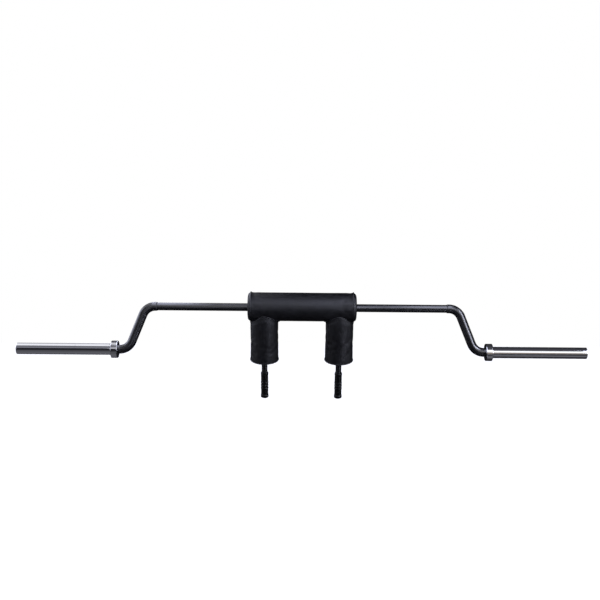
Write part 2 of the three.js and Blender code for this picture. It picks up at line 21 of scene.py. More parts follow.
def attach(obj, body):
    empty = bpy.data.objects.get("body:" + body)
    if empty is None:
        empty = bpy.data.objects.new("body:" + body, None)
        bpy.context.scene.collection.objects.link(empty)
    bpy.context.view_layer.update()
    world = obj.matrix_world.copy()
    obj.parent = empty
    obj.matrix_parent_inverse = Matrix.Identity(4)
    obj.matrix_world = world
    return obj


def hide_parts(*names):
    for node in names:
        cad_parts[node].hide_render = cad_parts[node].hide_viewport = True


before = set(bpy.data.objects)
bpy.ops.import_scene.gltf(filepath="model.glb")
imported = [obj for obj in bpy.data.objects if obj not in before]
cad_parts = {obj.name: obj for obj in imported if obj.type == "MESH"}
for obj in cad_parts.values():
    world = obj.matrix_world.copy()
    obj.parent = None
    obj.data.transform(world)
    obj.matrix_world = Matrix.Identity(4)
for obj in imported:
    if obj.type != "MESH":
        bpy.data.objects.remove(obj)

LOG = logging.getLogger("squat_bar")
MM = 0.001
FULL_TURN = 2 * math.pi
ROUND = [FULL_TURN * i / 180 for i in range(181)]
HANDLE_TILT = math.radians(20)
HANDLE_OFFSET = 162 * MM
CENTER_PAD_RISE = 3 * MM
SLEEVE_DROP = 185 * MM
CAMBER_START = 622 * MM
CAMBER_END = 779.824 * MM
TILT = Matrix.Rotation(HANDLE_TILT, 4, "X")
WAVE_RATE = 20  # radians that the wave texture turns in a unit of its scale
SOFTBOX = "#e4e8ff"  # the cool white of the soft lights
DRAPE = "#131316"  # the black of the drapes

Outline = list[tuple[float, float]]  # points of radius and distance along an axis
Path = list[tuple[Vector, Vector]]  # points on a surface in order, each with the normal there


class Side(Enum):
    """A half of the bar, with its sign along X."""

    LEFT = -1
    RIGHT = 1

    @property
    def word(self) -> str:
        """The side's name in piece names."""
        return self.name.lower()

    @property
    def mirror(self) -> Matrix:
        """Takes a shape made for the right half to this one."""
        return Matrix.Scale(self.value, 4, (1, 0, 0))


class Body(Enum):
    """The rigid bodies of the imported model."""

    FRAME = "frame"
    LEFT_SLEEVE = "left_sleeve_assembly"
    RIGHT_SLEEVE = "right_sleeve_assembly"

    @staticmethod
    def sleeve(side: Side) -> "Body":
        """The body that a side's sleeve turns with."""
        return Body.LEFT_SLEEVE if side is Side.LEFT else Body.RIGHT_SLEEVE


class Spin(Enum):
    """The axis that a turned outline is spun round."""

    BAR = (1, 0, 0)
    HANDLE = (0, 0, 1)


# Finishes


def linear(colour: str) -> tuple[float, float, float, float]:
    """Turns an sRGB hex colour into linear light.

    Args:
        colour: Six hex digits after a hash.

    Returns:
        Red, green, blue and an alpha of one.
    """
    channels = [int(colour[i : i + 2], 16) / 255 for i in (1, 3, 5)]
    light = [c / 12.92 if c <= 0.04045 else ((c + 0.055) / 1.055) ** 2.4 for c in channels]
    return (light[0], light[1], light[2], 1.0)


def per_mm(size: float) -> float:
    """The texture scale, in repeats per metre, of a pattern with a real size in millimetres."""
    return 1 / (size * MM)


def add_node(
    tree: NodeTree, kind: str, settings: dict | None = None, inputs: dict | None = None
) -> Node:
    """Adds a node with its settings, its values and its links.

    Args:
        tree: The node tree of a material or the world.
        kind: The node's type.
        settings: Attributes of the node by name.
        inputs: What goes into its sockets by name or number, a value or another node's output.

    Returns:
        The new node.
    """
    node = tree.nodes.new(kind)
    for name, value in (settings or {}).items():
        setattr(node, name, value)
    for name, value in (inputs or {}).items():
        if isinstance(value, NodeSocket):
            tree.links.new(value, node.inputs[name])
        else:
            node.inputs[name].default_value = value
    return node


@dataclass(frozen=True)
class Ground:
    """A material under way: its nodes, its shader, and coordinates that stay put on the piece."""

    tree: NodeTree
    shader: Node
    coords: NodeSocket


@dataclass(frozen=True)
class Finish:
    """A plain finish whose colour and sheen may drift. Its pattern's sizes and depths are in millimetres."""

    name: str
    slot: str
    colour: str
    roughness: float
    metallic: float = 0.0
    specular: float = 0.5
    second_colour: str = ""
    colour_patch: float = 0.0  # between the patches of the second colour, or none
    sheen_patch: float = 0.0  # between the duller patches, or none
    sheen_drift: tuple[float, float] = (0.0, 0.0)  # how far the roughness drifts down and up

    def material(self) -> Material:
        """Makes the material, or finds it where another piece has made it.

        Returns:
            The material.
        """
        found = bpy.data.materials.get(self.name)
        if found:
            return found
        made = bpy.data.materials.new(self.name)
        made.use_nodes = True
        tree = made.node_tree
        shader = tree.nodes["Principled BSDF"]
        ground = Ground(tree, shader, add_node(tree, "ShaderNodeTexCoord").outputs["Object"])
        shader.inputs["Base Color"].default_value = linear(self.colour)
        shader.inputs["Roughness"].default_value = self.roughness
        shader.inputs["Metallic"].default_value = self.metallic
        shader.inputs["Specular IOR Level"].default_value = self.specular
        if self.colour_patch:
            self._drift_colour(ground)
        if self.sheen_patch:
            self._drift_sheen(ground)
        self.pattern(ground)
        return made

    def pattern(self, ground: Ground) -> None:
        """Adds nothing here. A patterned finish adds its own texture and relief."""

    def mix_in(self, ground: Ground, share: NodeSocket) -> None:
        """Mixes the second colour into the first.

        Args:
            ground: The material under way.
            share: How much of the second colour there is, from 0 to 1.
        """
        mix = add_node(
            ground.tree,
            "ShaderNodeMix",
            {"data_type": "RGBA"},
            {"Factor": share, 6: linear(self.colour), 7: linear(self.second_colour)},
        )
        ground.tree.links.new(mix.outputs[2], ground.shader.inputs["Base Color"])

    def _drift_colour(self, ground: Ground) -> None:
        """Lets the colour drift between the two tones, as dust and wear leave it.

        Args:
            ground: The material under way.
        """
        patches = add_node(
            ground.tree,
            "ShaderNodeTexNoise",
            None,
            {"Vector": ground.coords, "Scale": per_mm(self.colour_patch), "Detail": 4.0},
        )
        ramp = add_node(
            ground.tree,
            "ShaderNodeMapRange",
            {"interpolation_type": "SMOOTHSTEP"},
            {"Value": patches.outputs["Fac"], "From Min": 0.35, "From Max": 0.68},
        )
        self.mix_in(ground, ramp.outputs["Result"])

    def _drift_sheen(self, ground: Ground) -> None:
        """Lets the roughness drift, as handling leaves it.

        Args:
            ground: The material under way.
        """
        patches = add_node(
            ground.tree,
            "ShaderNodeTexNoise",
            None,
            {"Vector": ground.coords, "Scale": per_mm(self.sheen_patch), "Detail": 5.0},
        )
        down, up = self.sheen_drift
        span = add_node(
            ground.tree,
            "ShaderNodeMapRange",
            None,
            {
                "Value": patches.outputs["Fac"],
                "From Min": 0.3,
                "From Max": 0.7,
                "To Min": self.roughness - down,
                "To Max": self.roughness + up,
            },
        )
        ground.tree.links.new(span.outputs["Result"], ground.shader.inputs["Roughness"])


def relief(ground: Ground, layers: list[tuple[NodeSocket, float]]) -> None:
    """Stacks bump layers and gives them to the shader.

    Args:
        ground: The material under way.
        layers: Each layer's height, from 0 to 1, and its depth in millimetres.
    """
    below = None
    for height, depth in layers:
        inputs = {"Height": height, "Distance": depth * MM}
        if below:
            inputs["Normal"] = below
        below = add_node(ground.tree, "ShaderNodeBump", None, inputs).outputs["Normal"]
    ground.tree.links.new(below, ground.shader.inputs["Normal"])


@dataclass(frozen=True)
class PowderCoat(Finish):
    """Baked powder coat on steel tube: a low orange peel, and a sheen that drifts with handling."""

    second_colour: str = "#16161a"
    colour_patch: float = 70
    sheen_patch: float = 45
    sheen_drift: tuple[float, float] = (0.05, 0.06)
    peel: float = 2.4  # between the peel's swells
    peel_depth: float = 0.016
    pit: float = 1.1  # between the dust pits
    pit_depth: float = 0.002

    def pattern(self, ground: Ground) -> None:
        """Adds the orange peel and fine dust pits.

        Args:
            ground: The material under way.
        """
        peel = add_node(
            ground.tree,
            "ShaderNodeTexNoise",
            None,
            {"Vector": ground.coords, "Scale": per_mm(self.peel), "Detail": 2.0},
        )
        pits = add_node(
            ground.tree,
            "ShaderNodeTexVoronoi",
            {"feature": "SMOOTH_F1"},
            {"Vector": ground.coords, "Scale": per_mm(self.pit)},
        )
        relief(
            ground,
            [(peel.outputs["Fac"], self.peel_depth), (pits.outputs["Distance"], self.pit_depth)],
        )


@dataclass(frozen=True)
class ChromePlate(Finish):
    """Bright chrome on ground steel: fine grinding lines round the axis under a hard mirror."""

    second_colour: str = "#c9c8cd"
    sheen_patch: float = 26
    sheen_drift: tuple[float, float] = (0.025, 0.04)
    line: float = 0.5  # between the grinding lines, drawn coarser than the real 0.05 mm so that they show
    line_depth: float = 0.0035
    around: float = 18  # how many times a metre the lines change round the axis
    slide: float = SLEEVE_DROP  # how far the pattern is slid up, in metres
    rub: float = 34  # between the rub marks of plates

    def pattern(self, ground: Ground) -> None:
        """Adds grinding lines and the rub marks of plates.

        Args:
            ground: The material under way.
        """
        stretched = add_node(
            ground.tree,
            "ShaderNodeMapping",
            None,
            {
                "Vector": ground.coords,
                "Location": (0, 0, self.slide),
                "Scale": (per_mm(self.line), self.around, self.around),
            },
        )
        lines = add_node(
            ground.tree,
            "ShaderNodeTexNoise",
            None,
            {"Vector": stretched.outputs["Vector"], "Scale": 1.0, "Detail": 3.0},
        )
        rub = add_node(
            ground.tree,
            "ShaderNodeTexNoise",
            {"noise_type": "RIDGED_MULTIFRACTAL"},
            {"Vector": ground.coords, "Scale": per_mm(self.rub), "Detail": 5.0},
        )
        share = add_node(
            ground.tree,
            "ShaderNodeMapRange",
            None,
            {"Value": rub.outputs["Fac"], "From Min": 0.55, "From Max": 1.1},
        )
        self.mix_in(ground, share.outputs["Result"])
        relief(ground, [(lines.outputs["Fac"], self.line_depth)])


@dataclass(frozen=True)
class Leatherette(Finish):
    """Embossed black leatherette: a pebble grain with fine creases between the pebbles."""

    second_colour: str = "#0e0e14"
    colour_patch: float = 55
    sheen_patch: float = 12
    sheen_drift: tuple[float, float] = (0.11, 0.12)
    warp: float = 9  # between the places where the grain is bent
    warp_reach: float = 1.6  # how far it is bent
    pebble: float = 2.2  # across, drawn coarser than the real 1 mm so that it shows
    pebble_depth: float = 0.26
    crease: float = 14.0  # between the creases
    crease_depth: float = 0.24

    def pattern(self, ground: Ground) -> None:
        """Adds the pebbles and the creases.

        Args:
            ground: The material under way.
        """
        warp = add_node(
            ground.tree,
            "ShaderNodeTexNoise",
            None,
            {"Vector": ground.coords, "Scale": per_mm(self.warp), "Detail": 2.0},
        )
        bent = add_node(
            ground.tree,
            "ShaderNodeVectorMath",
            {"operation": "MULTIPLY_ADD"},
            {0: warp.outputs["Color"], 1: (self.warp_reach * MM,) * 3, 2: ground.coords},
        )
        pebbles = add_node(
            ground.tree,
            "ShaderNodeTexVoronoi",
            {"feature": "SMOOTH_F1"},
            {"Vector": bent.outputs["Vector"], "Scale": per_mm(self.pebble), "Smoothness": 0.6},
        )
        domes = add_node(
            ground.tree,
            "ShaderNodeMapRange",
            {"interpolation_type": "SMOOTHSTEP"},
            {
                "Value": pebbles.outputs["Distance"],
                "From Min": 0.05,
                "From Max": 0.75,
                "To Min": 1.0,
                "To Max": 0.0,
            },
        )
        creases = add_node(
            ground.tree,
            "ShaderNodeTexNoise",
            {"noise_type": "RIDGED_MULTIFRACTAL"},
            {
                "Vector": bent.outputs["Vector"],
                "Scale": per_mm(self.crease),
                "Detail": 6.0,
                "Roughness": 0.55,
            },
        )
        relief(
            ground,
            [(creases.outputs["Fac"], self.crease_depth), (domes.outputs["Result"], self.pebble_depth)],
        )


@dataclass(frozen=True)
class MouldedRubber(Finish):
    """Moulded black rubber: a fine spark-eroded grit from the mould, and a dull bloom."""

    second_colour: str = "#0b0b0d"
    colour_patch: float = 16
    sheen_patch: float = 12
    sheen_drift: tuple[float, float] = (0.08, 0.08)
    grit: float = 0.8  # drawn coarser than the real 0.3 mm so that it shows
    grit_depth: float = 0.12

    def pattern(self, ground: Ground) -> None:
        """Adds the grit.

        Args:
            ground: The material under way.
        """
        grit = add_node(
            ground.tree,
            "ShaderNodeTexNoise",
            None,
            {"Vector": ground.coords, "Scale": per_mm(self.grit), "Detail": 3.0},
        )
        relief(ground, [(grit.outputs["Fac"], self.grit_depth)])


@dataclass(frozen=True)
class SinteredBronze(Finish):
    """Oil-filled sintered bronze: open pores and a dark brown mottle where the oil sits."""

    second_colour: str = "#6d4a22"
    colour_patch: float = 6
    pore: float = 0.5
    pore_depth: float = 0.03

    def pattern(self, ground: Ground) -> None:
        """Adds the pores.

        Args:
            ground: The material under way.
        """
        pores = add_node(
            ground.tree, "ShaderNodeTexVoronoi", None, {"Vector": ground.coords, "Scale": per_mm(self.pore)}
        )
        relief(ground, [(pores.outputs["Distance"], self.pore_depth)])


@dataclass(frozen=True)
class TurnedSteel(Finish):
    """Bare turned steel: rings left by the tool round the sleeve's axis, under a patchy film of oil."""

    second_colour: str = "#74757a"
    colour_patch: float = 9
    ring: float = 0.5  # to a radian of the wave, which is 3 mm from ring to ring, coarse enough to show
    ring_depth: float = 0.01

    def pattern(self, ground: Ground) -> None:
        """Adds the rings of the tool.

        Args:
            ground: The material under way.
        """
        centred = add_node(
            ground.tree,
            "ShaderNodeMapping",
            None,
            {"Vector": ground.coords, "Location": (0, 0, SLEEVE_DROP)},
        )
        rings = add_node(
            ground.tree,
            "ShaderNodeTexWave",
            {"wave_type": "RINGS", "rings_direction": "X"},
            {
                "Vector": centred.outputs["Vector"],
                "Scale": per_mm(self.ring) / WAVE_RATE,
                "Distortion": 0.6,
            },
        )
        relief(ground, [(rings.outputs["Fac"], self.ring_depth)])


@dataclass(frozen=True)
class LoopTape(Finish):
    """Black brushed-loop tape: a mat of fine loops over a woven ground."""

    second_colour: str = "#222226"
    colour_patch: float = 5
    sheen: float = 0.3
    loop: float = 0.9  # drawn coarser than the real 0.4 mm so that it shows
    loop_depth: float = 0.4
    fuzz: float = 0.5
    fuzz_depth: float = 0.3

    def pattern(self, ground: Ground) -> None:
        """Adds the mat of loops.

        Args:
            ground: The material under way.
        """
        ground.shader.inputs["Sheen Weight"].default_value = self.sheen
        loops = add_node(
            ground.tree, "ShaderNodeTexVoronoi", None, {"Vector": ground.coords, "Scale": per_mm(self.loop)}
        )
        fuzz = add_node(
            ground.tree,
            "ShaderNodeTexNoise",
            None,
            {"Vector": ground.coords, "Scale": per_mm(self.fuzz), "Detail": 5.0},
        )
        relief(
            ground,
            [(loops.outputs["Distance"], self.loop_depth), (fuzz.outputs["Fac"], self.fuzz_depth)],
        )


@dataclass(frozen=True)
class SewingThread(Finish):
    """Bonded polyester thread: a slanting twist with a soft waxy sheen."""

    twist: float = 0.6  # sets the twist's turns, about 4 mm apart, coarse enough to show
    twist_depth: float = 0.08

    def pattern(self, ground: Ground) -> None:
        """Adds the twist.

        Args:
            ground: The material under way.
        """
        twist = add_node(
            ground.tree,
            "ShaderNodeTexWave",
            {"bands_direction": "DIAGONAL"},
            {"Vector": ground.coords, "Scale": per_mm(self.twist) / WAVE_RATE, "Distortion": 1.0},
        )
        relief(ground, [(twist.outputs["Fac"], self.twist_depth)])


BLACK_PAINT = PowderCoat("black_powder_coat", "black_paint", "#0f0f12", 0.26, specular=0.9)
CAP_PAINT = PowderCoat("satin_cap_paint", "cap_paint", "#151518", 0.42, peel=1.6)
CHROME = ChromePlate("bright_chrome_plate", "chrome", "#dfe0e4", 0.06, 1.0)
COVER = Leatherette("pebbled_black_leatherette", "black_leatherette", "#08080c", 0.44, specular=0.45)
PIPING = Leatherette("smooth_piping_leatherette", "piping_cord", "#0d0d12", 0.32, pebble=1.1, crease=7.0)
WELT = Leatherette("stretched_welt_leatherette", "piping_cord", "#0d0d12", 0.22, pebble=1.1, crease=7.0)
FLAP = Leatherette("flap_leatherette", "black_leatherette", "#0a0a0e", 0.46, specular=0.45)
THREAD = SewingThread("black_bonded_thread", "black_leatherette", "#18181c", 0.5)
TAPE = LoopTape("black_loop_tape", "black_tape", "#121214", 0.9)
RUBBER = MouldedRubber("moulded_black_rubber", "black_rubber", "#060608", 0.26)
BRONZE = SinteredBronze("sintered_bronze", "bronze", "#a7783c", 0.42, 1.0)
STEEL = TurnedSteel("turned_bare_steel", "bare_steel", "#8d8f94", 0.32, 1.0)


# Mesh tools


def braced(outline: Outline, ring: bool, reach: float = 1.3 * MM) -> Outline:
    """Adds a point close to each end of an outline's long sides, so that they are shaded as straight.

    Args:
        outline: Points of radius and distance.
        ring: Whether the last point joins the first.
        reach: How far from a side's ends the points lie.

    Returns:
        The outline with the points added.
    """
    points = []
    ends = outline[1:] + outline[:1] if ring else outline[1:]
    for first, second in zip(outline, ends):
        points.append(first)
        a, b = Vector(first), Vector(second)
        length = (b - a).length
        if length > 3 * reach:
            points += [tuple(a.lerp(b, reach / length)), tuple(b.lerp(a, reach / length))]
    return points if ring else points + outline[-1:]


def swung(
    made: BMesh,
    geom: list,
    centre: Vector | tuple,
    axis: tuple[float, float, float],
    angle: float,
    steps: int,
    merge: bool = False,
) -> list:
    """Spins part of a shape round an axis.

    Args:
        made: The shape.
        geom: Its points and edges that are spun.
        centre: A point on the axis.
        axis: The axis's direction.
        angle: How far they turn, in radians.
        steps: How many facets the turn has.
        merge: Whether the end joins the start.

    Returns:
        The points and edges at the end of the turn.
    """
    return bmesh.ops.spin(
        made,
        geom=geom,
        cent=centre,
        axis=axis,
        dvec=(0, 0, 0),
        angle=angle,
        steps=steps,
        use_merge=merge,
        use_normal_flip=False,
        use_duplicate=False,
    )["geom_last"]


def spun(outline: Outline, axis: Spin, steps: int, ring: bool) -> BMesh:
    """Turns an outline into a closed shape.

    Args:
        outline: Points of radius and distance along the axis. Round a handle, the distance runs down.
        axis: The axis to spin round.
        steps: How many facets go round.
        ring: Whether the last point joins the first. Otherwise both lie on the axis.

    Returns:
        The turned shape, with its faces pointing out.
    """
    made = bmesh.new()
    for radius, distance in braced(outline, ring):
        made.verts.new((distance, 0, radius) if axis is Spin.BAR else (radius, 0, -distance))
    corners = list(made.verts)
    ends = corners[1:] + corners[:1] if ring else corners[1:]
    for first, second in zip(corners, ends):
        made.edges.new((first, second))
    swung(made, made.verts[:] + made.edges[:], (0, 0, 0), axis.value, FULL_TURN, steps, merge=True)
    bmesh.ops.remove_doubles(made, verts=made.verts, dist=0.002 * MM)
    bmesh.ops.recalc_face_normals(made, faces=made.faces)
    return made


def soften(made: BMesh, width: float, segments: int = 3, angle: float = 28.0) -> BMesh:
    """Rounds the edges that turn by more than an angle.

    Args:
        made: The shape.
        width: How far each edge is cut back, in metres.
        segments: How many facets make the rounding.
        angle: The smallest turn, in degrees, that counts as an edge.

    Returns:
        The same shape.
    """
    limit = math.radians(angle)
    sharp = [e for e in made.edges if len(e.link_faces) == 2 and e.calc_face_angle(0) > limit]
    bmesh.ops.bevel(
        made,
        geom=sharp,
        offset=width,
        offset_type="OFFSET",
        segments=segments,
        profile=0.5,
        affect="EDGES",
        clamp_overlap=True,
        material=-1,
    )
    return made


def even_out(made: BMesh, factor: float, rounds: int) -> None:
    """Draws each point of a shape towards its neighbours.

    Args:
        made: The shape.
        factor: How much of the way it goes in a round.
        rounds: How many rounds there are.
    """
    for _ in range(rounds):
        bmesh.ops.smooth_vert(
            made, verts=made.verts, factor=factor, use_axis_x=True, use_axis_y=True, use_axis_z=True
        )


def corded(line: list[Vector], radius: float) -> BMesh:
    """Lays a round cord along a closed line.

    Args:
        line: The line's points in order.
        radius: The cord's radius.

    Returns:
        The cord.
    """
    curve = bpy.data.curves.new("cord", "CURVE")
    curve.dimensions = "3D"
    curve.bevel_depth = radius
    curve.bevel_resolution = 3
    spline = curve.splines.new("POLY")
    spline.points.add(len(line) - 1)
    for spot, point in zip(spline.points, line):
        spot.co = (*point, 1)
    spline.use_cyclic_u = True
    holder = bpy.data.objects.new("cord", curve)
    mesh = bpy.data.meshes.new_from_object(holder)
    made = bmesh.new()
    made.from_mesh(mesh)
    bpy.data.objects.remove(holder)
    bpy.data.curves.remove(curve)
    bpy.data.meshes.remove(mesh)
    even_out(made, 0.3, 2)
    return made


def into_scene(name: str, made: BMesh) -> Object:
    """Puts a shape into the scene.

    Args:
        name: The name of the new object and its mesh.
        made: The shape, which is used up.

    Returns:
        The object.
    """
    mesh = bpy.data.meshes.new(name)
    made.to_mesh(mesh)
    made.free()
    piece = bpy.data.objects.new(name, mesh)
    bpy.context.scene.collection.objects.link(piece)
    return piece


def settle(
    name: str,
    made: BMesh,
    finish: Finish,
    body: Body,
    nodes: tuple[str, ...] = (),
    place: Matrix | None = None,
    crease: float = 40.0,
) -> Object:
    """Makes a finished piece of a shape: placed in its mesh, shaded, dressed and riding on its body.

    Args:
        name: The piece's name.
        made: The shape, which is used up.
        finish: What it is made of.
        body: The body that it moves with.
        nodes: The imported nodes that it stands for.
        place: Where it goes.
        crease: The turn, in degrees, past which an edge is shaded sharp.

    Returns:
        The piece.
    """
    if place is not None:
        made.transform(place)
        if place.determinant() < 0:
            bmesh.ops.reverse_faces(made, faces=made.faces)
    piece = into_scene(name, made)
    piece.data.shade_smooth()
    piece.data.set_sharp_from_angle(angle=math.radians(crease))
    piece.data.materials.append(finish.material())
    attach(piece, body.value)
    if nodes:
        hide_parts(*nodes)
    LOG.info("%s: %d faces on %s", name, len(piece.data.polygons), body.value)
    return piece


def dress_node(node: str, finish: Finish) -> None:
    """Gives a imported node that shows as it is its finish.

    Args:
        node: The node's name.
        finish: What it is made of.
    """
    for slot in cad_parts[node].material_slots:
        slot.link = "OBJECT"
        slot.material = finish.material()
    LOG.info("%s: kept, dressed as %s", node, finish.name)


# The steel frame


@dataclass
class CenterTube:
    """The straight tube that the rack's hooks carry."""

    diameter: float = 33.7 * MM
    wall: float = 6 * MM
    half_length: float = CAMBER_START - 0.3 * MM
    rounding: float = 0.8 * MM
    facets: int = 96

    def build(self) -> None:
        """Makes the tube."""
        outer = self.diameter / 2
        inner = outer - self.wall
        outline = [
            (inner, -self.half_length),
            (outer, -self.half_length),
            (outer, self.half_length),
            (inner, self.half_length),
        ]
        tube = soften(spun(outline, Spin.BAR, self.facets, True), self.rounding)
        settle("center_tube_fine", tube, BLACK_PAINT, Body.FRAME, ("center_tube",))


@dataclass
class CamberTube:
    """One dropped end: lead, bend, leg, bend and tail, with the weld at its mouth."""

    side: Side
    diameter: float = 38 * MM
    lead: float = 7 * MM
    tail: float = 1 * MM
    bend_angle: float = math.radians(68.2)
    bend_radius: float = 56 * MM
    bend_steps: int = 18
    rounding: float = 0.9 * MM
    facets: int = 64
    weld_ripples: int = 38
    weld_place: float = 620.7 * MM
    weld_radius: float = 17.3 * MM
    ripple: tuple[float, float, float] = (2.1 * MM, 2.4 * MM, 1.3 * MM)  # half as long, wide and high
    ripple_lean: float = math.radians(-24)

    def build(self) -> None:
        """Makes the bent tube and the weld bead."""
        place = self.side.mirror
        node = f"{self.side.word}_camber_tube"
        settle(f"{node}_fine", self._tube(), BLACK_PAINT, Body.FRAME, (node,), place)
        settle(f"{self.side.word}_weld_bead", self._weld(), BLACK_PAINT, Body.FRAME, (), place)

    def _tube(self) -> BMesh:
        """Sweeps a ring along the camber's line, for the right half.

        Returns:
            The bent tube.
        """
        made = bmesh.new()
        start = Vector((CAMBER_START, 0, 0))
        stand = Matrix.Translation(start) @ Matrix.Rotation(math.pi / 2, 4, "Y")
        bmesh.ops.create_circle(
            made, cap_ends=False, radius=self.diameter / 2, segments=self.facets, matrix=stand
        )
        down = Vector((math.cos(self.bend_angle), 0, -math.sin(self.bend_angle)))
        across = Vector((math.sin(self.bend_angle), 0, math.cos(self.bend_angle)))
        fall = self.bend_radius * (1 - math.cos(self.bend_angle))
        leg = (SLEEVE_DROP - 2 * fall) / math.sin(self.bend_angle)
        edge = self._push(made, made.edges[:], Vector((self.lead, 0, 0)))
        knee = start + Vector((self.lead, 0, -self.bend_radius))
        edge = self._swing(made, edge, knee, self.bend_angle)
        foot = knee + across * self.bend_radius + down * leg
        edge = self._push(made, edge, down * leg)
        edge = self._swing(made, edge, foot + across * self.bend_radius, -self.bend_angle)
        self._push(made, edge, Vector((self.tail, 0, 0)))
        bmesh.ops.holes_fill(made, edges=[e for e in made.edges if e.is_boundary], sides=0)
        bmesh.ops.recalc_face_normals(made, faces=made.faces)
        return soften(made, self.rounding)

    @staticmethod
    def _push(made: BMesh, edges: list, way: Vector) -> list:
        """Extrudes an open end along a straight way.

        Args:
            made: The shape.
            edges: The open end's edges.
            way: How far it goes.

        Returns:
            The new end's edges.
        """
        grown = bmesh.ops.extrude_edge_only(made, edges=edges)["geom"]
        verts = [g for g in grown if isinstance(g, BMVert)]
        bmesh.ops.translate(made, verts=verts, vec=way)
        return [g for g in grown if isinstance(g, BMEdge) and all(v in verts for v in g.verts)]

    def _swing(self, made: BMesh, edges: list, centre: Vector, angle: float) -> list:
        """Sweeps an open end round a bend.

        Args:
            made: The shape.
            edges: The open end's edges.
            centre: The bend's centre.
            angle: How far it bends, in radians.

        Returns:
            The new end's edges.
        """
        verts = list({v for e in edges for v in e.verts})
        last = swung(made, verts + edges, centre, (0, 1, 0), angle, self.bend_steps)
        return [g for g in last if isinstance(g, BMEdge)]

    def _weld(self) -> BMesh:
        """Lays the overlapping ripples of the weld round the tube, for the right half.

        Returns:
            The weld bead.
        """
        made = bmesh.new()
        swell = Matrix.Diagonal((*self.ripple, 1))
        for i in range(self.weld_ripples):
            turn = Matrix.Rotation(FULL_TURN * i / self.weld_ripples, 4, "X")
            spot = Matrix.Translation((self.weld_place, 0, self.weld_radius))
            lean = Matrix.Rotation(self.ripple_lean, 4, "Y")
            bmesh.ops.create_uvsphere(
                made, u_segments=10, v_segments=6, radius=1, matrix=turn @ spot @ lean @ swell
            )
        return made


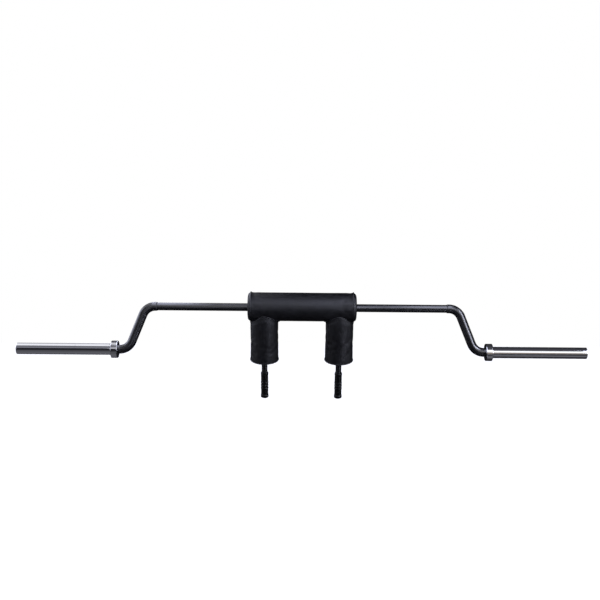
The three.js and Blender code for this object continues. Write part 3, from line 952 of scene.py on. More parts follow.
@dataclass
class SleeveAssembly:
    """One spindle with the sleeve, collar and cap that turn on it.

    Places along it count outboard from the camber tube's end.
    """

    side: Side
    spindle_from: float = 0.3 * MM
    neck_radius: float = 17 * MM
    neck_length: float = 6.2 * MM
    neck_to: float = 13.2 * MM
    journal_radius: float = 14 * MM
    spindle_to: float = 426.7 * MM
    ring_groove: tuple[float, float] = (419.5 * MM, 421.7 * MM)
    groove_depth: float = 1.5 * MM
    sleeve_radius: float = 24.5 * MM
    sleeve_bore: float = 20 * MM
    sleeve_from: float = 10.5 * MM
    sleeve_to: float = 439.2 * MM
    collar_radius: float = 37 * MM
    collar_width: float = 28 * MM
    collar_lip: float = 4 * MM
    collar_room: float = 1.2 * MM
    cap_thickness: float = 6 * MM
    cap_recess: float = 1.5 * MM
    cap_rim: float = 5 * MM
    cap_dish: float = 2 * MM
    cap_dimple: tuple[tuple[float, float], ...] = ((3.2 * MM, 2 * MM), (2.4 * MM, 3.2 * MM), (0, 3.4 * MM))
    fit: float = 0.3 * MM  # the room between two pieces that are pressed together
    chamfer: float = 1.2 * MM
    rounding: float = 0.3 * MM
    facets: int = 128
    spindle_rounding: float = 0.4 * MM
    spindle_facets: int = 72
    cap_rounding: float = 0.5 * MM
    cap_facets: int = 96

    def build(self) -> None:
        """Makes the turned pieces, and dresses the bushings, washers and snap ring."""
        word = self.side.word
        turning = Body.sleeve(self.side)
        place = self.side.mirror @ Matrix.Translation((CAMBER_END, 0, -SLEEVE_DROP))
        for name, shape, finish, body in (
            ("spindle", self._spindle(), BLACK_PAINT, Body.FRAME),
            ("sleeve", self._sleeve(), CHROME, turning),
            ("plate_collar", self._collar(), CHROME, turning),
            ("end_cap", self._cap(), CAP_PAINT, turning),
        ):
            settle(f"{word}_{name}_fine", shape, finish, body, (f"{word}_{name}",), place)
        for name in ("inner_bushing", "outer_bushing"):
            dress_node(f"{word}_{name}", BRONZE)
        for name in ("thrust_washer", "retaining_washer", "snap_ring"):
            dress_node(f"{word}_{name}", STEEL)

    def _spindle(self) -> BMesh:
        """Turns the shouldered shaft, with the snap ring's groove.

        Returns:
            The spindle.
        """
        first, last = self.ring_groove
        root = self.journal_radius - self.groove_depth
        outline = [
            (0, self.spindle_from),
            (self.neck_radius, self.spindle_from),
            (self.neck_radius, self.neck_to),
            (self.journal_radius, self.neck_to),
            (self.journal_radius, first),
            (root, first),
            (root, last),
            (self.journal_radius, last),
            (self.journal_radius, self.spindle_to),
            (0, self.spindle_to),
        ]
        return soften(spun(outline, Spin.BAR, self.spindle_facets, False), self.spindle_rounding, 2)

    def _sleeve(self) -> BMesh:
        """Turns the tube that takes the plates, chamfered at its mouth.

        Returns:
            The sleeve.
        """
        outline = [
            (self.sleeve_bore, self.sleeve_from),
            (self.sleeve_radius, self.sleeve_from),
            (self.sleeve_radius, self.sleeve_to - self.chamfer),
            (self.sleeve_radius - self.chamfer, self.sleeve_to),
            (self.sleeve_bore, self.sleeve_to),
        ]
        return soften(spun(outline, Spin.BAR, self.facets, True), self.rounding)

    def _collar(self) -> BMesh:
        """Turns the plate collar, with a lip over the sleeve's inner end.

        Returns:
            The collar.
        """
        near = self.neck_length
        far = near + self.collar_width
        bore = self.sleeve_radius + self.fit
        lip = self.neck_radius + self.collar_room
        outline = [
            (lip, near),
            (self.collar_radius - self.chamfer, near),
            (self.collar_radius, near + self.chamfer),
            (self.collar_radius, far - self.chamfer),
            (self.collar_radius - self.chamfer, far),
            (bore, far),
            (bore, near + self.collar_lip),
            (lip, near + self.collar_lip),
        ]
        return soften(spun(outline, Spin.BAR, self.facets, True), self.rounding)

    def _cap(self) -> BMesh:
        """Turns the dished cap in the sleeve's mouth.

        Returns:
            The end cap.
        """
        far = self.sleeve_to - self.cap_recess
        near = far - self.cap_thickness
        rim = self.sleeve_bore - self.fit
        outline = [
            (0, near),
            (rim, near),
            (rim, far),
            (rim - self.cap_rim, far),
            (rim - self.cap_rim - self.cap_dish, far - self.cap_dish),
            *((radius, far - deep) for radius, deep in self.cap_dimple),
        ]
        return soften(spun(outline, Spin.BAR, self.cap_facets, False), self.cap_rounding, angle=20)


@dataclass
class Handle:
    """One handle tube and its rubber grip, which hang along the handle's own axis."""

    side: Side
    tube_radius: float = 12.7 * MM
    tube_wall: float = 3 * MM
    tube_from: float = 18 * MM
    grip_from: float = 303.5 * MM
    grip_to: float = 423.5 * MM
    grip_radius: float = 15.75 * MM
    rim_length: float = 12 * MM
    rim_height: float = 0.7 * MM
    flange_length: float = 15 * MM
    flange_height: float = 1.3 * MM
    rib_from: float = 347 * MM
    rib_pitch: float = 13.5 * MM
    rib_width: float = 9 * MM
    rib_height: float = 1.2 * MM
    rib_count: int = 3
    rib_steps: int = 8
    slope: float = 1.5 * MM
    end_slope: float = 2.2 * MM
    end_wall: float = 5 * MM
    end_dimple: tuple[tuple[float, float], ...] = ((5.5 * MM, 0), (4.5 * MM, 1 * MM), (0, 1.2 * MM))
    fit: float = 0.3 * MM  # the room between the tube and the grip
    tube_rounding: float = 0.4 * MM
    tube_facets: int = 64
    grip_rounding: float = 0.6 * MM
    grip_facets: int = 80

    def build(self) -> None:
        """Makes the tube and the grip."""
        word = self.side.word
        place = TILT @ Matrix.Translation((self.side.value * HANDLE_OFFSET, 0, 0))
        for name, shape, finish in (
            ("handle_tube", self._tube(), BLACK_PAINT),
            ("grip", self._grip(), RUBBER),
        ):
            settle(f"{word}_{name}_fine", shape, finish, Body.FRAME, (f"{word}_{name}",), place)

    def _tube(self) -> BMesh:
        """Turns the round handle tube, down to the grip's closed end.

        Returns:
            The tube.
        """
        inner = self.tube_radius - self.tube_wall
        end = self.grip_to - self.end_wall - self.fit
        outline = [
            (inner, self.tube_from),
            (self.tube_radius, self.tube_from),
            (self.tube_radius, end),
            (inner, end),
        ]
        return soften(spun(outline, Spin.HANDLE, self.tube_facets, True), self.tube_rounding, 2)

    def _grip(self) -> BMesh:
        """Turns the ribbed grip, with its rim, flange and dimpled end.

        Returns:
            The grip.
        """
        bore = self.tube_radius + self.fit
        rim = self.grip_radius + self.rim_height
        flange = self.grip_radius + self.flange_height
        outline = [
            (bore, self.grip_from),
            (rim - self.slope, self.grip_from),
            (rim, self.grip_from + self.slope),
            (rim, self.grip_from + self.rim_length - self.slope),
            (self.grip_radius, self.grip_from + self.rim_length),
        ]
        for i in range(self.rib_count):
            near = self.rib_from + i * self.rib_pitch
            for step in range(self.rib_steps + 1):
                swell = self.rib_height * math.sin(math.pi * step / self.rib_steps)
                outline.append((self.grip_radius + swell, near + self.rib_width * step / self.rib_steps))
        near = self.grip_to - self.flange_length
        outline += [
            (self.grip_radius, near),
            (flange, near + self.slope),
            (flange, self.grip_to - self.end_slope),
            (flange - self.end_slope, self.grip_to),
            *((radius, self.grip_to - deep) for radius, deep in self.end_dimple),
            (0, self.grip_to - self.end_wall),
            (bore, self.grip_to - self.end_wall),
        ]
        return soften(spun(outline, Spin.HANDLE, self.grip_facets, True), self.grip_rounding, angle=14)


# The pads


@dataclass(frozen=True)
class PadShape:
    """The sizes of one roll pad, and where its axis lies."""

    radius: float
    flare: float
    seam_at: float
    bulge: float
    piping: float
    hub: float
    both_ends: bool
    spin: Spin
    place: Matrix
    tuck: float = 0.8 * MM  # how far inside the piping's centre the end panel is sewn
    panel_rise: float = 1.4  # over one, the panel's steps crowd at the seam, where it rises fast
    panel_part: float = 0.92  # how much of a full arch the panel makes from the seam to the hub

    @property
    def piping_radius(self) -> float:
        """How far the piping's centre lies from the pad's axis."""
        return self.radius + self.flare

    def crown(self, distance: float) -> float:
        """The pad's radius at a distance along it."""
        return self.radius + self.flare * (abs(distance) / self.seam_at) ** 6

    def along(self, distance: float) -> float:
        """How far along its half a distance lies. A handle pad is all one half."""
        return abs(distance) if self.both_ends else distance

    def to_seam(self, distance: float, radius: float) -> float:
        """How far a point lies from the nearest piped seam."""
        return math.hypot(self.along(distance) - self.seam_at, radius - self.piping_radius)

    def panel(self, rings: int) -> Outline:
        """Draws the puffed end panel.

        Args:
            rings: How many steps the line has.

        Returns:
            The panel's line, from the seam in to the hub.
        """
        seam = self.piping_radius - self.tuck
        points = []
        for i in range(rings + 1):
            part = (i / rings) ** self.panel_rise
            swell = math.sqrt(max(0.0, 1 - abs(2 * part * self.panel_part - 1) ** 4))
            points.append((seam + (self.hub - seam) * part, self.seam_at + self.bulge * swell))
        return points

    @property
    def axis(self) -> Vector:
        """The way along the pad, in the bar's frame."""
        way = Vector((1, 0, 0)) if self.spin is Spin.BAR else Vector((0, 0, -1))
        return (self.place.to_3x3() @ way).normalized()

    def local(self, point: Vector) -> tuple[float, float, Vector]:
        """A point's distance along the pad, its radius, and the way out from the axis in the bar's frame.

        Args:
            point: A point in the bar's frame.

        Returns:
            The distance, the radius and the way out.
        """
        inside = self.place.inverted() @ point
        if self.spin is Spin.BAR:
            distance, out = inside.x, Vector((0, inside.y, inside.z))
        else:
            distance, out = -inside.z, Vector((inside.x, inside.y, 0))
        radius = out.length
        way = (self.place.to_3x3() @ out).normalized() if radius > 1e-6 else Vector((0, 0, 1))
        return distance, radius, way

    def around(self, distance: float, angle: float) -> tuple[Vector, Vector]:
        """A point on the pad's axis and the way out of it, in the bar's frame.

        Args:
            distance: How far along the axis.
            angle: The turn from the pad's back.

        Returns:
            The point and the outward direction.
        """
        if self.spin is Spin.BAR:
            point, way = Vector((distance, 0, 0)), Vector((0, math.cos(angle), math.sin(angle)))
        else:
            point, way = Vector((0, 0, -distance)), Vector((math.sin(angle), math.cos(angle), 0))
        return self.place @ point, (self.place.to_3x3() @ way).normalized()


def center_pad_shape() -> PadShape:
    """Gives the sizes of the pad along the centre tube.

    Returns:
        The sizes.
    """
    return PadShape(
        radius=61.2 * MM,
        flare=1.6 * MM,
        seam_at=219 * MM,
        bulge=13.5 * MM,
        piping=2.6 * MM,
        hub=17.6 * MM,
        both_ends=True,
        spin=Spin.BAR,
        place=TILT @ Matrix.Translation((0, 0, CENTER_PAD_RISE)),
    )


def handle_pad_shape(side: Side) -> PadShape:
    """Gives the sizes of the pad down one handle.

    Args:
        side: The handle's side.

    Returns:
        The sizes.
    """
    return PadShape(
        radius=59.8 * MM,
        flare=1.4 * MM,
        seam_at=240 * MM,
        bulge=8 * MM,
        piping=2 * MM,
        hub=13.4 * MM,
        both_ends=False,
        spin=Spin.HANDLE,
        place=TILT @ Matrix.Translation((side.value * HANDLE_OFFSET, 0, 0)),
    )


@dataclass(frozen=True)
class SewnEdge:
    """How the covers lie along the seam where a handle pad is sewn to the centre pad."""

    reach: float = 30 * MM  # how far down the handle pad its edge is shaped
    fillet_to: float = 13 * MM
    fillet_width: float = 10 * MM
    fillet_start: float = 0.25  # how far round from the outside the inner fillet starts
    draw: float = 8 * MM  # how far the edge is drawn in at front and back
    draw_reach: float = 11 * MM
    roll: float = 2.2 * MM  # the height of the rolled rim beside the seam
    roll_at: float = 6 * MM
    roll_reach: float = 4 * MM
    furrow: float = 1.8 * MM  # how deep the centre pad's cover is drawn in
    furrow_out: float = 1 * MM
    furrow_reach: float = 3.2 * MM


@dataclass
class RollPad:
    """A foam roll in a sewn cover: stuffed by a cloth simulation, then puckered along its seams."""

    name: str
    shape: PadShape
    nodes: tuple[str, ...]
    edge: SewnEdge = SewnEdge()
    blank_rings: int = 40
    panel_rings: int = 14
    facets: int = 96
    cope_depth: float = 5 * MM  # how far inside its neighbour's surface the pad ends
    cope_over: float = 10 * MM  # how far the cutter stands out past the neighbour's ends
    cope_facets: int = 120
    start_under: float = 1.2 * MM  # how much smaller the cover is before it is stuffed
    voxel: float = 5 * MM
    pressure: float = 4.0
    cap: float = 1.3 * MM  # the farthest that a point may move
    last_frame: int = 20
    fill: float = 0.85
    waist: tuple[float, float] = (0.35, 0.75)  # where the girth is measured, as shares of the way out
    girth_from: float = 0.85  # of the pad's radius, past which a point counts for the girth
    crown_from: float = 0.8  # of the pad's radius, past which a point counts as the crown's
    let_out_over: float = 16 * MM  # from the seam to where the cover has its full girth
    ride_over: float = 8 * MM  # from the seam to where the cover has come down from the piping
    gather_reach: float = 10 * MM
    pucker: float = 0.35 * MM
    pucker_reach: float = 11 * MM
    pucker_rate: float = 9  # how fast the gathers change round the pad
    swell: float = 0.45 * MM
    swell_size: float = 75 * MM

    def build(self, neighbour: PadShape | None = None, sewn_on: tuple[PadShape, ...] = ()) -> Object:
        """Makes the pad.

        Args:
            neighbour: The pad whose surface this one is coped and sewn to.
            sewn_on: The pads that are sewn onto this one, which draw it in along their seams.

        Returns:
            The finished pad.
        """
        piece = settle(self.name, self._blank(), COVER, Body.FRAME, self.nodes, self.shape.place, 60)
        if neighbour:
            self._cope(piece, neighbour)
        self._apply(piece, "REMESH", {"mode": "VOXEL", "voxel_size": self.voxel})
        self._smooth(piece, 3)
        self._stuff(piece, neighbour)
        self._true_up(piece)
        self._apply(piece, "SUBSURF", {"levels": 1, "render_levels": 1})
        self._move(piece, self._gathered)
        self._move(piece, lambda point, normal: self._drawn_in(point, normal, sewn_on))
        self._move(piece, lambda point, _: self._filleted(point, neighbour))
        self._move(piece, self._relaxed)
        piece.data.shade_smooth()
        LOG.info("%s: %d faces after stuffing", self.name, len(piece.data.polygons))
        return piece

    def _blank(self) -> BMesh:
        """Turns the roll as it is before stuffing, a thick ring about its tube.

        Returns:
            The roll.
        """
        shape = self.shape
        near = -shape.seam_at if shape.both_ends else 0.0
        crown = []
        for i in range(1, self.blank_rings):
            distance = near + (shape.seam_at - near) * i / self.blank_rings
            crown.append((shape.crown(distance) - self.start_under, distance))
        panel = shape.panel(self.panel_rings)
        if shape.both_ends:
            start = [(r, -d) for r, d in reversed(panel)]
        else:
            start = [(shape.hub, near), (shape.radius - self.start_under, near)]
        return spun(start + crown + panel, shape.spin, self.facets, True)

    def _cope(self, piece: Object, neighbour: PadShape) -> None:
        """Cuts the pad's upper end to fit its neighbour.

        Args:
            piece: The pad.
            neighbour: The pad that it is sewn to.
        """
        reach = neighbour.seam_at + neighbour.bulge + self.cope_over
        radius = neighbour.radius - self.cope_depth
        outline = [(0, -reach), (radius, -reach), (radius, reach), (0, reach)]
        roller = spun(outline, neighbour.spin, self.cope_facets, False)
        roller.transform(neighbour.place)
        cutter = into_scene("cope_cutter", roller)
        mesh = cutter.data
        self._apply(piece, "BOOLEAN", {"operation": "DIFFERENCE", "solver": "EXACT", "object": cutter})
        bpy.data.objects.remove(cutter)
        bpy.data.meshes.remove(mesh)

    @staticmethod
    def _apply(piece: Object, kind: str, settings: dict) -> None:
        """Adds a modifier to a piece, and puts what it makes into the mesh.

        Args:
            piece: The piece.
            kind: The modifier's type.
            settings: The modifier's attributes by name.
        """
        modifier = piece.modifiers.new(kind.lower(), kind)
        for name, value in settings.items():
            setattr(modifier, name, value)
        graph = bpy.context.evaluated_depsgraph_get()
        made = bpy.data.meshes.new_from_object(piece.evaluated_get(graph))
        old = piece.data
        piece.modifiers.clear()
        piece.data = made
        bpy.data.meshes.remove(old)

    @staticmethod
    def _smooth(piece: Object, rounds: int) -> None:
        """Evens out the steps that remeshing leaves.

        Args:
            piece: The piece.
            rounds: How often it is gone over.
        """
        made = bmesh.new()
        made.from_mesh(piece.data)
        even_out(made, 0.5, rounds)
        made.to_mesh(piece.data)
        made.free()

    @staticmethod
    def _move(piece: Object, shift: Callable[[Vector, Vector], Vector]) -> None:
        """Moves every point of a piece.

        Args:
            piece: The piece.
            shift: Gives a point's move from its place and normal.
        """
        made = bmesh.new()
        made.from_mesh(piece.data)
        made.normal_update()
        shifts = [shift(v.co.copy(), v.normal.copy()) for v in made.verts]
        for vert, by in zip(made.verts, shifts):
            vert.co += by
        made.to_mesh(piece.data)
        made.free()

    @staticmethod
    def _height_over(point: Vector, neighbour: PadShape) -> float:
        """How far a point lies outside a neighbouring pad's surface."""
        inside = neighbour.place.inverted() @ point
        return math.hypot(inside.y, inside.z) - neighbour.radius

    def _true_up(self, piece: Object) -> None:
        """Brings the stuffed roll back to its measured girth, and lets it ride up onto the piping.

        Args:
            piece: The pad.
        """
        shape = self.shape
        low, high = self.waist
        girths = []
        for vert in piece.data.vertices:
            distance, radius, _ = shape.local(vert.co)
            if low < abs(distance) / shape.seam_at < high and radius > shape.radius * self.girth_from:
                girths.append(radius)
        short = shape.radius - sum(girths) / len(girths)
        LOG.info("%s: %.2f mm let out at the waist", self.name, short / MM)

        def let_out(point: Vector, _: Vector) -> Vector:
            """Moves a point of the crown outward.

            Args:
                point: The point.

            Returns:
                How it moves.
            """
            distance, radius, way = shape.local(point)
            to_seam = shape.seam_at - shape.along(distance)
            if radius < shape.radius * self.crown_from or to_seam < 0:
                return Vector()
            let = short * min(1.0, to_seam / self.let_out_over)
            ride = (shape.flare * 0.4 + shape.piping * 0.5) * math.exp(-to_seam / self.ride_over)
            return way * (let + ride * min(1.0, to_seam / (2 * MM)))

        self._move(piece, let_out)

    def _gathered(self, point: Vector, _: Vector) -> Vector:
        """Draws the cover into the piping at each sewn end.

        Args:
            point: A point of the pad.

        Returns:
            How it moves.
        """
        shape = self.shape
        distance, radius, way = shape.local(point)
        seam = math.copysign(shape.seam_at, distance) if shape.both_ends else shape.seam_at
        along, out = seam - distance, shape.piping_radius - radius
        near = 1 - math.hypot(along, out) / self.gather_reach
        if near <= 0:
            return Vector()
        return (shape.axis * along + way * out) * near * near

    def _drawn_in(self, point: Vector, normal: Vector, sewn_on: tuple[PadShape, ...]) -> Vector:
        """Sinks a shallow furrow where another pad is sewn on.

        Args:
            point: A point of the pad.
            normal: The normal there.
            sewn_on: The pads that are sewn on.

        Returns:
            How the point moves.
        """
        edge = self.edge
        deep = 0.0
        for other in sewn_on:
            distance, radius, way = other.local(point)
            if distance > 0:
                seam = other.radius - edge.draw * (1 - way.x**2) + edge.furrow_out
                deep = max(deep, math.exp(-(((radius - seam) / edge.furrow_reach) ** 2)))
        return normal * (-edge.furrow * deep)

    def _filleted(self, point: Vector, neighbour: PadShape | None) -> Vector:
        """Shapes the upper edge where the pad is sewn on: a fillet inside, drawn in at front and back.

        Args:
            point: A point of the pad.
            neighbour: The pad that this one is sewn to.

        Returns:
            How the point moves.
        """
        if not neighbour:
            return Vector()
        _, radius, way = self.shape.local(point)
        edge = self.edge
        over = self._height_over(point, neighbour)
        if over > edge.reach or radius < self.shape.radius * self.crown_from:
            return Vector()
        inner = 0.5 - 0.5 * way.x * math.copysign(1, point.x)
        share = max(0.0, inner - edge.fillet_start) / (1 - edge.fillet_start)
        up = min(1.0, max(0.0, over / edge.fillet_to))
        rise = edge.fillet_width * (1 - math.sqrt(1 - (1 - up) ** 2)) * share
        draw = edge.draw * math.exp(-((max(0.0, over) / edge.draw_reach) ** 2)) * (1 - way.x**2)
        roll = edge.roll * math.exp(-(((over - edge.roll_at) / edge.roll_reach) ** 2)) * (1 - 0.7 * inner**2)
        return way * (rise + roll - draw)

    def _pin(self, point: Vector, neighbour: PadShape | None) -> float:
        """Holds the cover at its seams and hub while it is stuffed.

        Args:
            point: A point of the pad.
            neighbour: The pad that this one is sewn to.

        Returns:
            How firmly the point is held, from 0 to 1.
        """
        shape = self.shape
        distance, radius, _ = shape.local(point)
        fades = [(shape.to_seam(distance, radius), 3 * MM, 6 * MM), (radius - shape.hub, 3 * MM, 8 * MM)]
        if neighbour:
            fades.append((self._height_over(point, neighbour), 2 * MM, 8 * MM))
        return min(1.0, max(0.0, *(1 - (away - full) / fade for away, full, fade in fades)))

    def _stuff(self, piece: Object, neighbour: PadShape | None) -> None:
        """Blows the cover up against its seams with cloth, and keeps each point's way short.

        Args:
            piece: The pad.
            neighbour: The pad that it is sewn to.
        """
        group = piece.vertex_groups.new(name="held")
        before = [v.co.copy() for v in piece.data.vertices]
        for i, point in enumerate(before):
            group.add([i], self._pin(point, neighbour), "REPLACE")
        cloth = piece.modifiers.new("stuffing", "CLOTH")
        settings = cloth.settings
        settings.quality = 6
        settings.mass = 0.4
        settings.tension_stiffness = 22
        settings.compression_stiffness = 22
        settings.shear_stiffness = 8
        settings.bending_stiffness = 2.0
        settings.shrink_min = -0.008
        settings.use_pressure = True
        settings.uniform_pressure_force = self.pressure
        settings.vertex_group_mass = "held"
        settings.effector_weights.gravity = 0
        cloth.point_cache.frame_start = 1
        cloth.point_cache.frame_end = self.last_frame
        scene = bpy.context.scene
        for step in range(1, self.last_frame + 1):
            scene.frame_set(step)
        graph = bpy.context.evaluated_depsgraph_get()
        blown = piece.evaluated_get(graph).data
        after = [v.co.copy() for v in blown.vertices]
        piece.modifiers.clear()
        piece.vertex_groups.clear()
        farthest = 0.0
        for vert, start, end in zip(piece.data.vertices, before, after):
            way = end - start
            farthest = max(farthest, way.length)
            if way.length > 1e-7:
                way *= self.cap * math.tanh(way.length / self.cap) / way.length
            vert.co = start + way
        scene.frame_set(1)
        self._smooth(piece, 2)
        LOG.info("%s: the farthest point moved %.1f mm before the cap", self.name, farthest / MM)

    def _relaxed(self, point: Vector, normal: Vector) -> Vector:
        """Adds the foam's slow swells, and the gathers along the end seams.

        Args:
            point: A point of the pad.
            normal: The normal there.

        Returns:
            How the point moves.
        """
        shape = self.shape
        distance, radius, way = shape.local(point)
        if radius < shape.hub + 4 * MM:
            return Vector()
        to_seam = shape.to_seam(distance, radius)
        slow = noise.noise(point * (1 / self.swell_size)) * self.swell
        rate = self.pucker_rate
        gather = noise.noise(Vector((way.x * rate, way.y * rate + 7, way.z * rate))) * 2
        gather *= self.pucker * math.exp(-to_seam / self.pucker_reach) * min(1.0, to_seam / (4 * MM))
        return normal * (slow * min(1.0, to_seam / (12 * MM)) + gather)


class PadSurface:
    """Finds points on finished pads."""

    cast_from: float = 120 * MM  # how far from a pad's axis the rays to its surface start

    def __init__(self, piece: Object) -> None:
        """Reads a finished pad.

        Args:
            piece: The pad.
        """
        made = bmesh.new()
        made.from_mesh(piece.data)
        self.tree = BVHTree.FromBMesh(made)
        made.free()

    def under(self, shape: PadShape, distance: float, angle: float) -> tuple[Vector, Vector]:
        """The point and normal on the pad at a distance along it and a turn from its back.

        Args:
            shape: The pad's sizes.
            distance: How far along the pad.
            angle: The turn from its back.

        Returns:
            The point and the outward normal there.
        """
        centre, way = shape.around(distance, angle)
        hit, normal, _, _ = self.tree.ray_cast(centre + way * self.cast_from, -way)
        if hit is None:
            return centre + way * shape.radius, way
        return hit, normal if normal.dot(way) > 0 else -normal

    def nearest(self, point: Vector) -> tuple[Vector, Vector]:
        """The nearest point on the pad, and the normal there."""
        hit, normal, _, _ = self.tree.find_nearest(point)
        return hit, normal


@dataclass
class Stitching:
    """Rows of small stitches laid on a surface."""

    length: float = 4.2 * MM
    pitch: float = 5.6 * MM
    thickness: float = 0.55 * MM
    proud: float = 0.35  # how much of its thickness a stitch's middle lies over the cover

    def row(self, made: BMesh, path: Path) -> None:
        """Sews one row.

        Args:
            made: The mesh that collects the stitches.
            path: The row's line.
        """
        gone = self.pitch / 2
        for (a, normal), (b, _) in zip(path, path[1:]):
            step = (b - a).length
            if step < 1e-9:
                continue
            while gone <= step:
                self._stitch(made, a.lerp(b, gone / step), (b - a).normalized(), normal)
                gone += self.pitch
            gone -= step

    def _stitch(self, made: BMesh, point: Vector, along: Vector, normal: Vector) -> None:
        """Lays one stitch, partly sunk into the cover.

        Args:
            made: The mesh that collects the stitches.
            point: The stitch's middle.
            along: Which way it runs.
            normal: The cover's normal there.
        """
        side = normal.cross(along).normalized()
        up = along.cross(side).normalized()
        turn = Matrix((along, side, up)).transposed().to_4x4()
        size = Matrix.Diagonal((self.length / 2, self.thickness, self.thickness, 1))
        place = Matrix.Translation(point + up * self.thickness * self.proud)
        bmesh.ops.create_uvsphere(made, u_segments=6, v_segments=5, radius=1, matrix=place @ turn @ size)


@dataclass
class EndSeam:
    """The piping cord sewn round a pad's end, with a row of stitches beside it."""

    name: str
    shape: PadShape
    nodes: tuple[str, ...]
    end: int = 1
    cord_facets: int = 14
    ring_facets: int = 144
    row_gap: float = 4.2 * MM  # between the cord and the stitches beside it

    def build(self, surface: PadSurface) -> None:
        """Makes the cord and its stitches.

        Args:
            surface: The pad that it is sewn to.
        """
        shape = self.shape
        cord = []
        for i in range(self.cord_facets):
            turn = FULL_TURN * i / self.cord_facets
            radius = shape.piping_radius + shape.piping * math.cos(turn)
            cord.append((radius, self.end * (shape.seam_at + shape.piping * math.sin(turn))))
        ring = spun(cord, shape.spin, self.ring_facets, True)
        settle(self.name, ring, PIPING, Body.FRAME, self.nodes, shape.place, 80)
        stitches = bmesh.new()
        beside = shape.seam_at - shape.piping - self.row_gap
        path = [surface.under(shape, self.end * beside, angle) for angle in ROUND]
        Stitching().row(stitches, path)
        settle(f"{self.name}_stitches", stitches, THREAD, Body.FRAME, crease=80)


@dataclass
class BackClosure:
    """The closure along a pad's back: a loop tape on the cover, and a stitched flap over it."""

    name: str
    shape: PadShape
    nodes: tuple[str, str]  # the tape's and the flap's
    near: float
    far: float
    turn: float = 0.0  # of the closure's middle from the pad's back
    thickness: float = 1.1 * MM
    tape_from: float = 2.5 * MM
    tape_to: float = 19.5 * MM
    flap_half: float = 17 * MM
    flap_lift: float = 1.6 * MM  # the flap's height over the cover, where it lies on the tape
    sewn_lift: float = 0.2 * MM  # its height at its sewn edge, and the tape's
    inset: float = 3 * MM  # from the flap's edges to its stitches
    path_steps: int = 120
    grid: tuple[int, int] = (90, 12)  # a strip's facets along and across
    rounding: float = 0.25 * MM
    side: int = 1

    def build(self, surface: PadSurface) -> None:
        """Makes the tape, the flap and the flap's stitches.

        Args:
            surface: The pad that they lie on.
        """
        tape = self._strip(surface, self.tape_from, self.tape_to, lambda _: self.sewn_lift)
        settle(f"{self.name}_loop_tape_fine", tape, TAPE, Body.FRAME, self.nodes[:1], crease=60)
        flap = self._strip(surface, -self.flap_half, self.flap_half, self._lift)
        settle(f"{self.name}_flap_fine", flap, FLAP, Body.FRAME, self.nodes[1:], crease=60)
        stitches = bmesh.new()
        length = self.far - self.near - 2 * self.inset
        for across in (-self.flap_half + self.inset, self.flap_half - self.inset):
            path = []
            for i in range(self.path_steps + 1):
                distance = self.near + self.inset + length * i / self.path_steps
                point, normal = surface.under(self.shape, distance, self._angle(across))
                path.append((point + normal * (self._lift(across) + self.thickness), normal))
            Stitching().row(stitches, path)
        settle(f"{self.name}_flap_stitches", stitches, THREAD, Body.FRAME, crease=80)

    def _angle(self, across: float) -> float:
        """The turn from the pad's back of a place across the closure."""
        return self.turn + self.side * across / self.shape.radius

    def _lift(self, across: float) -> float:
        """Raises the flap from its sewn edge to where it lies on the tape.

        Args:
            across: A place across the closure.

        Returns:
            The flap's height over the cover there.
        """
        if across >= self.tape_from:
            return self.flap_lift
        part = (across + self.flap_half) / (self.tape_from + self.flap_half)
        smooth = part * part * (3 - 2 * part)
        return self.sewn_lift + (self.flap_lift - self.sewn_lift) * smooth

    def _strip(
        self, surface: PadSurface, first: float, last: float, lift: Callable[[float], float]
    ) -> BMesh:
        """Lays a strip on the pad's back.

        Args:
            surface: The pad that it lies on.
            first: One long edge, measured across the closure's middle.
            last: The other.
            lift: Gives the strip's height over the cover at a place across the closure.

        Returns:
            The strip.
        """
        made = bmesh.new()
        long, wide = self.grid
        bmesh.ops.create_grid(made, x_segments=long, y_segments=wide, size=0.5)
        made.normal_update()
        ups = []
        for vert in made.verts:
            distance = self.near + (self.far - self.near) * (vert.co.x + 0.5)
            across = first + (last - first) * (vert.co.y + 0.5)
            point, normal = surface.under(self.shape, distance, self._angle(across))
            ups.append((vert, point + normal * lift(across), normal * self.thickness))
        for vert, point, _ in ups:
            vert.co = point
        rise = {tuple(round(c, 7) for c in point): up for _, point, up in ups}
        grown = bmesh.ops.extrude_face_region(made, geom=made.faces[:])["geom"]
        for vert in grown:
            if isinstance(vert, BMVert):
                vert.co += rise[tuple(round(c, 7) for c in vert.co)]
        bmesh.ops.recalc_face_normals(made, faces=made.faces)
        return soften(made, self.rounding, 2, 50)


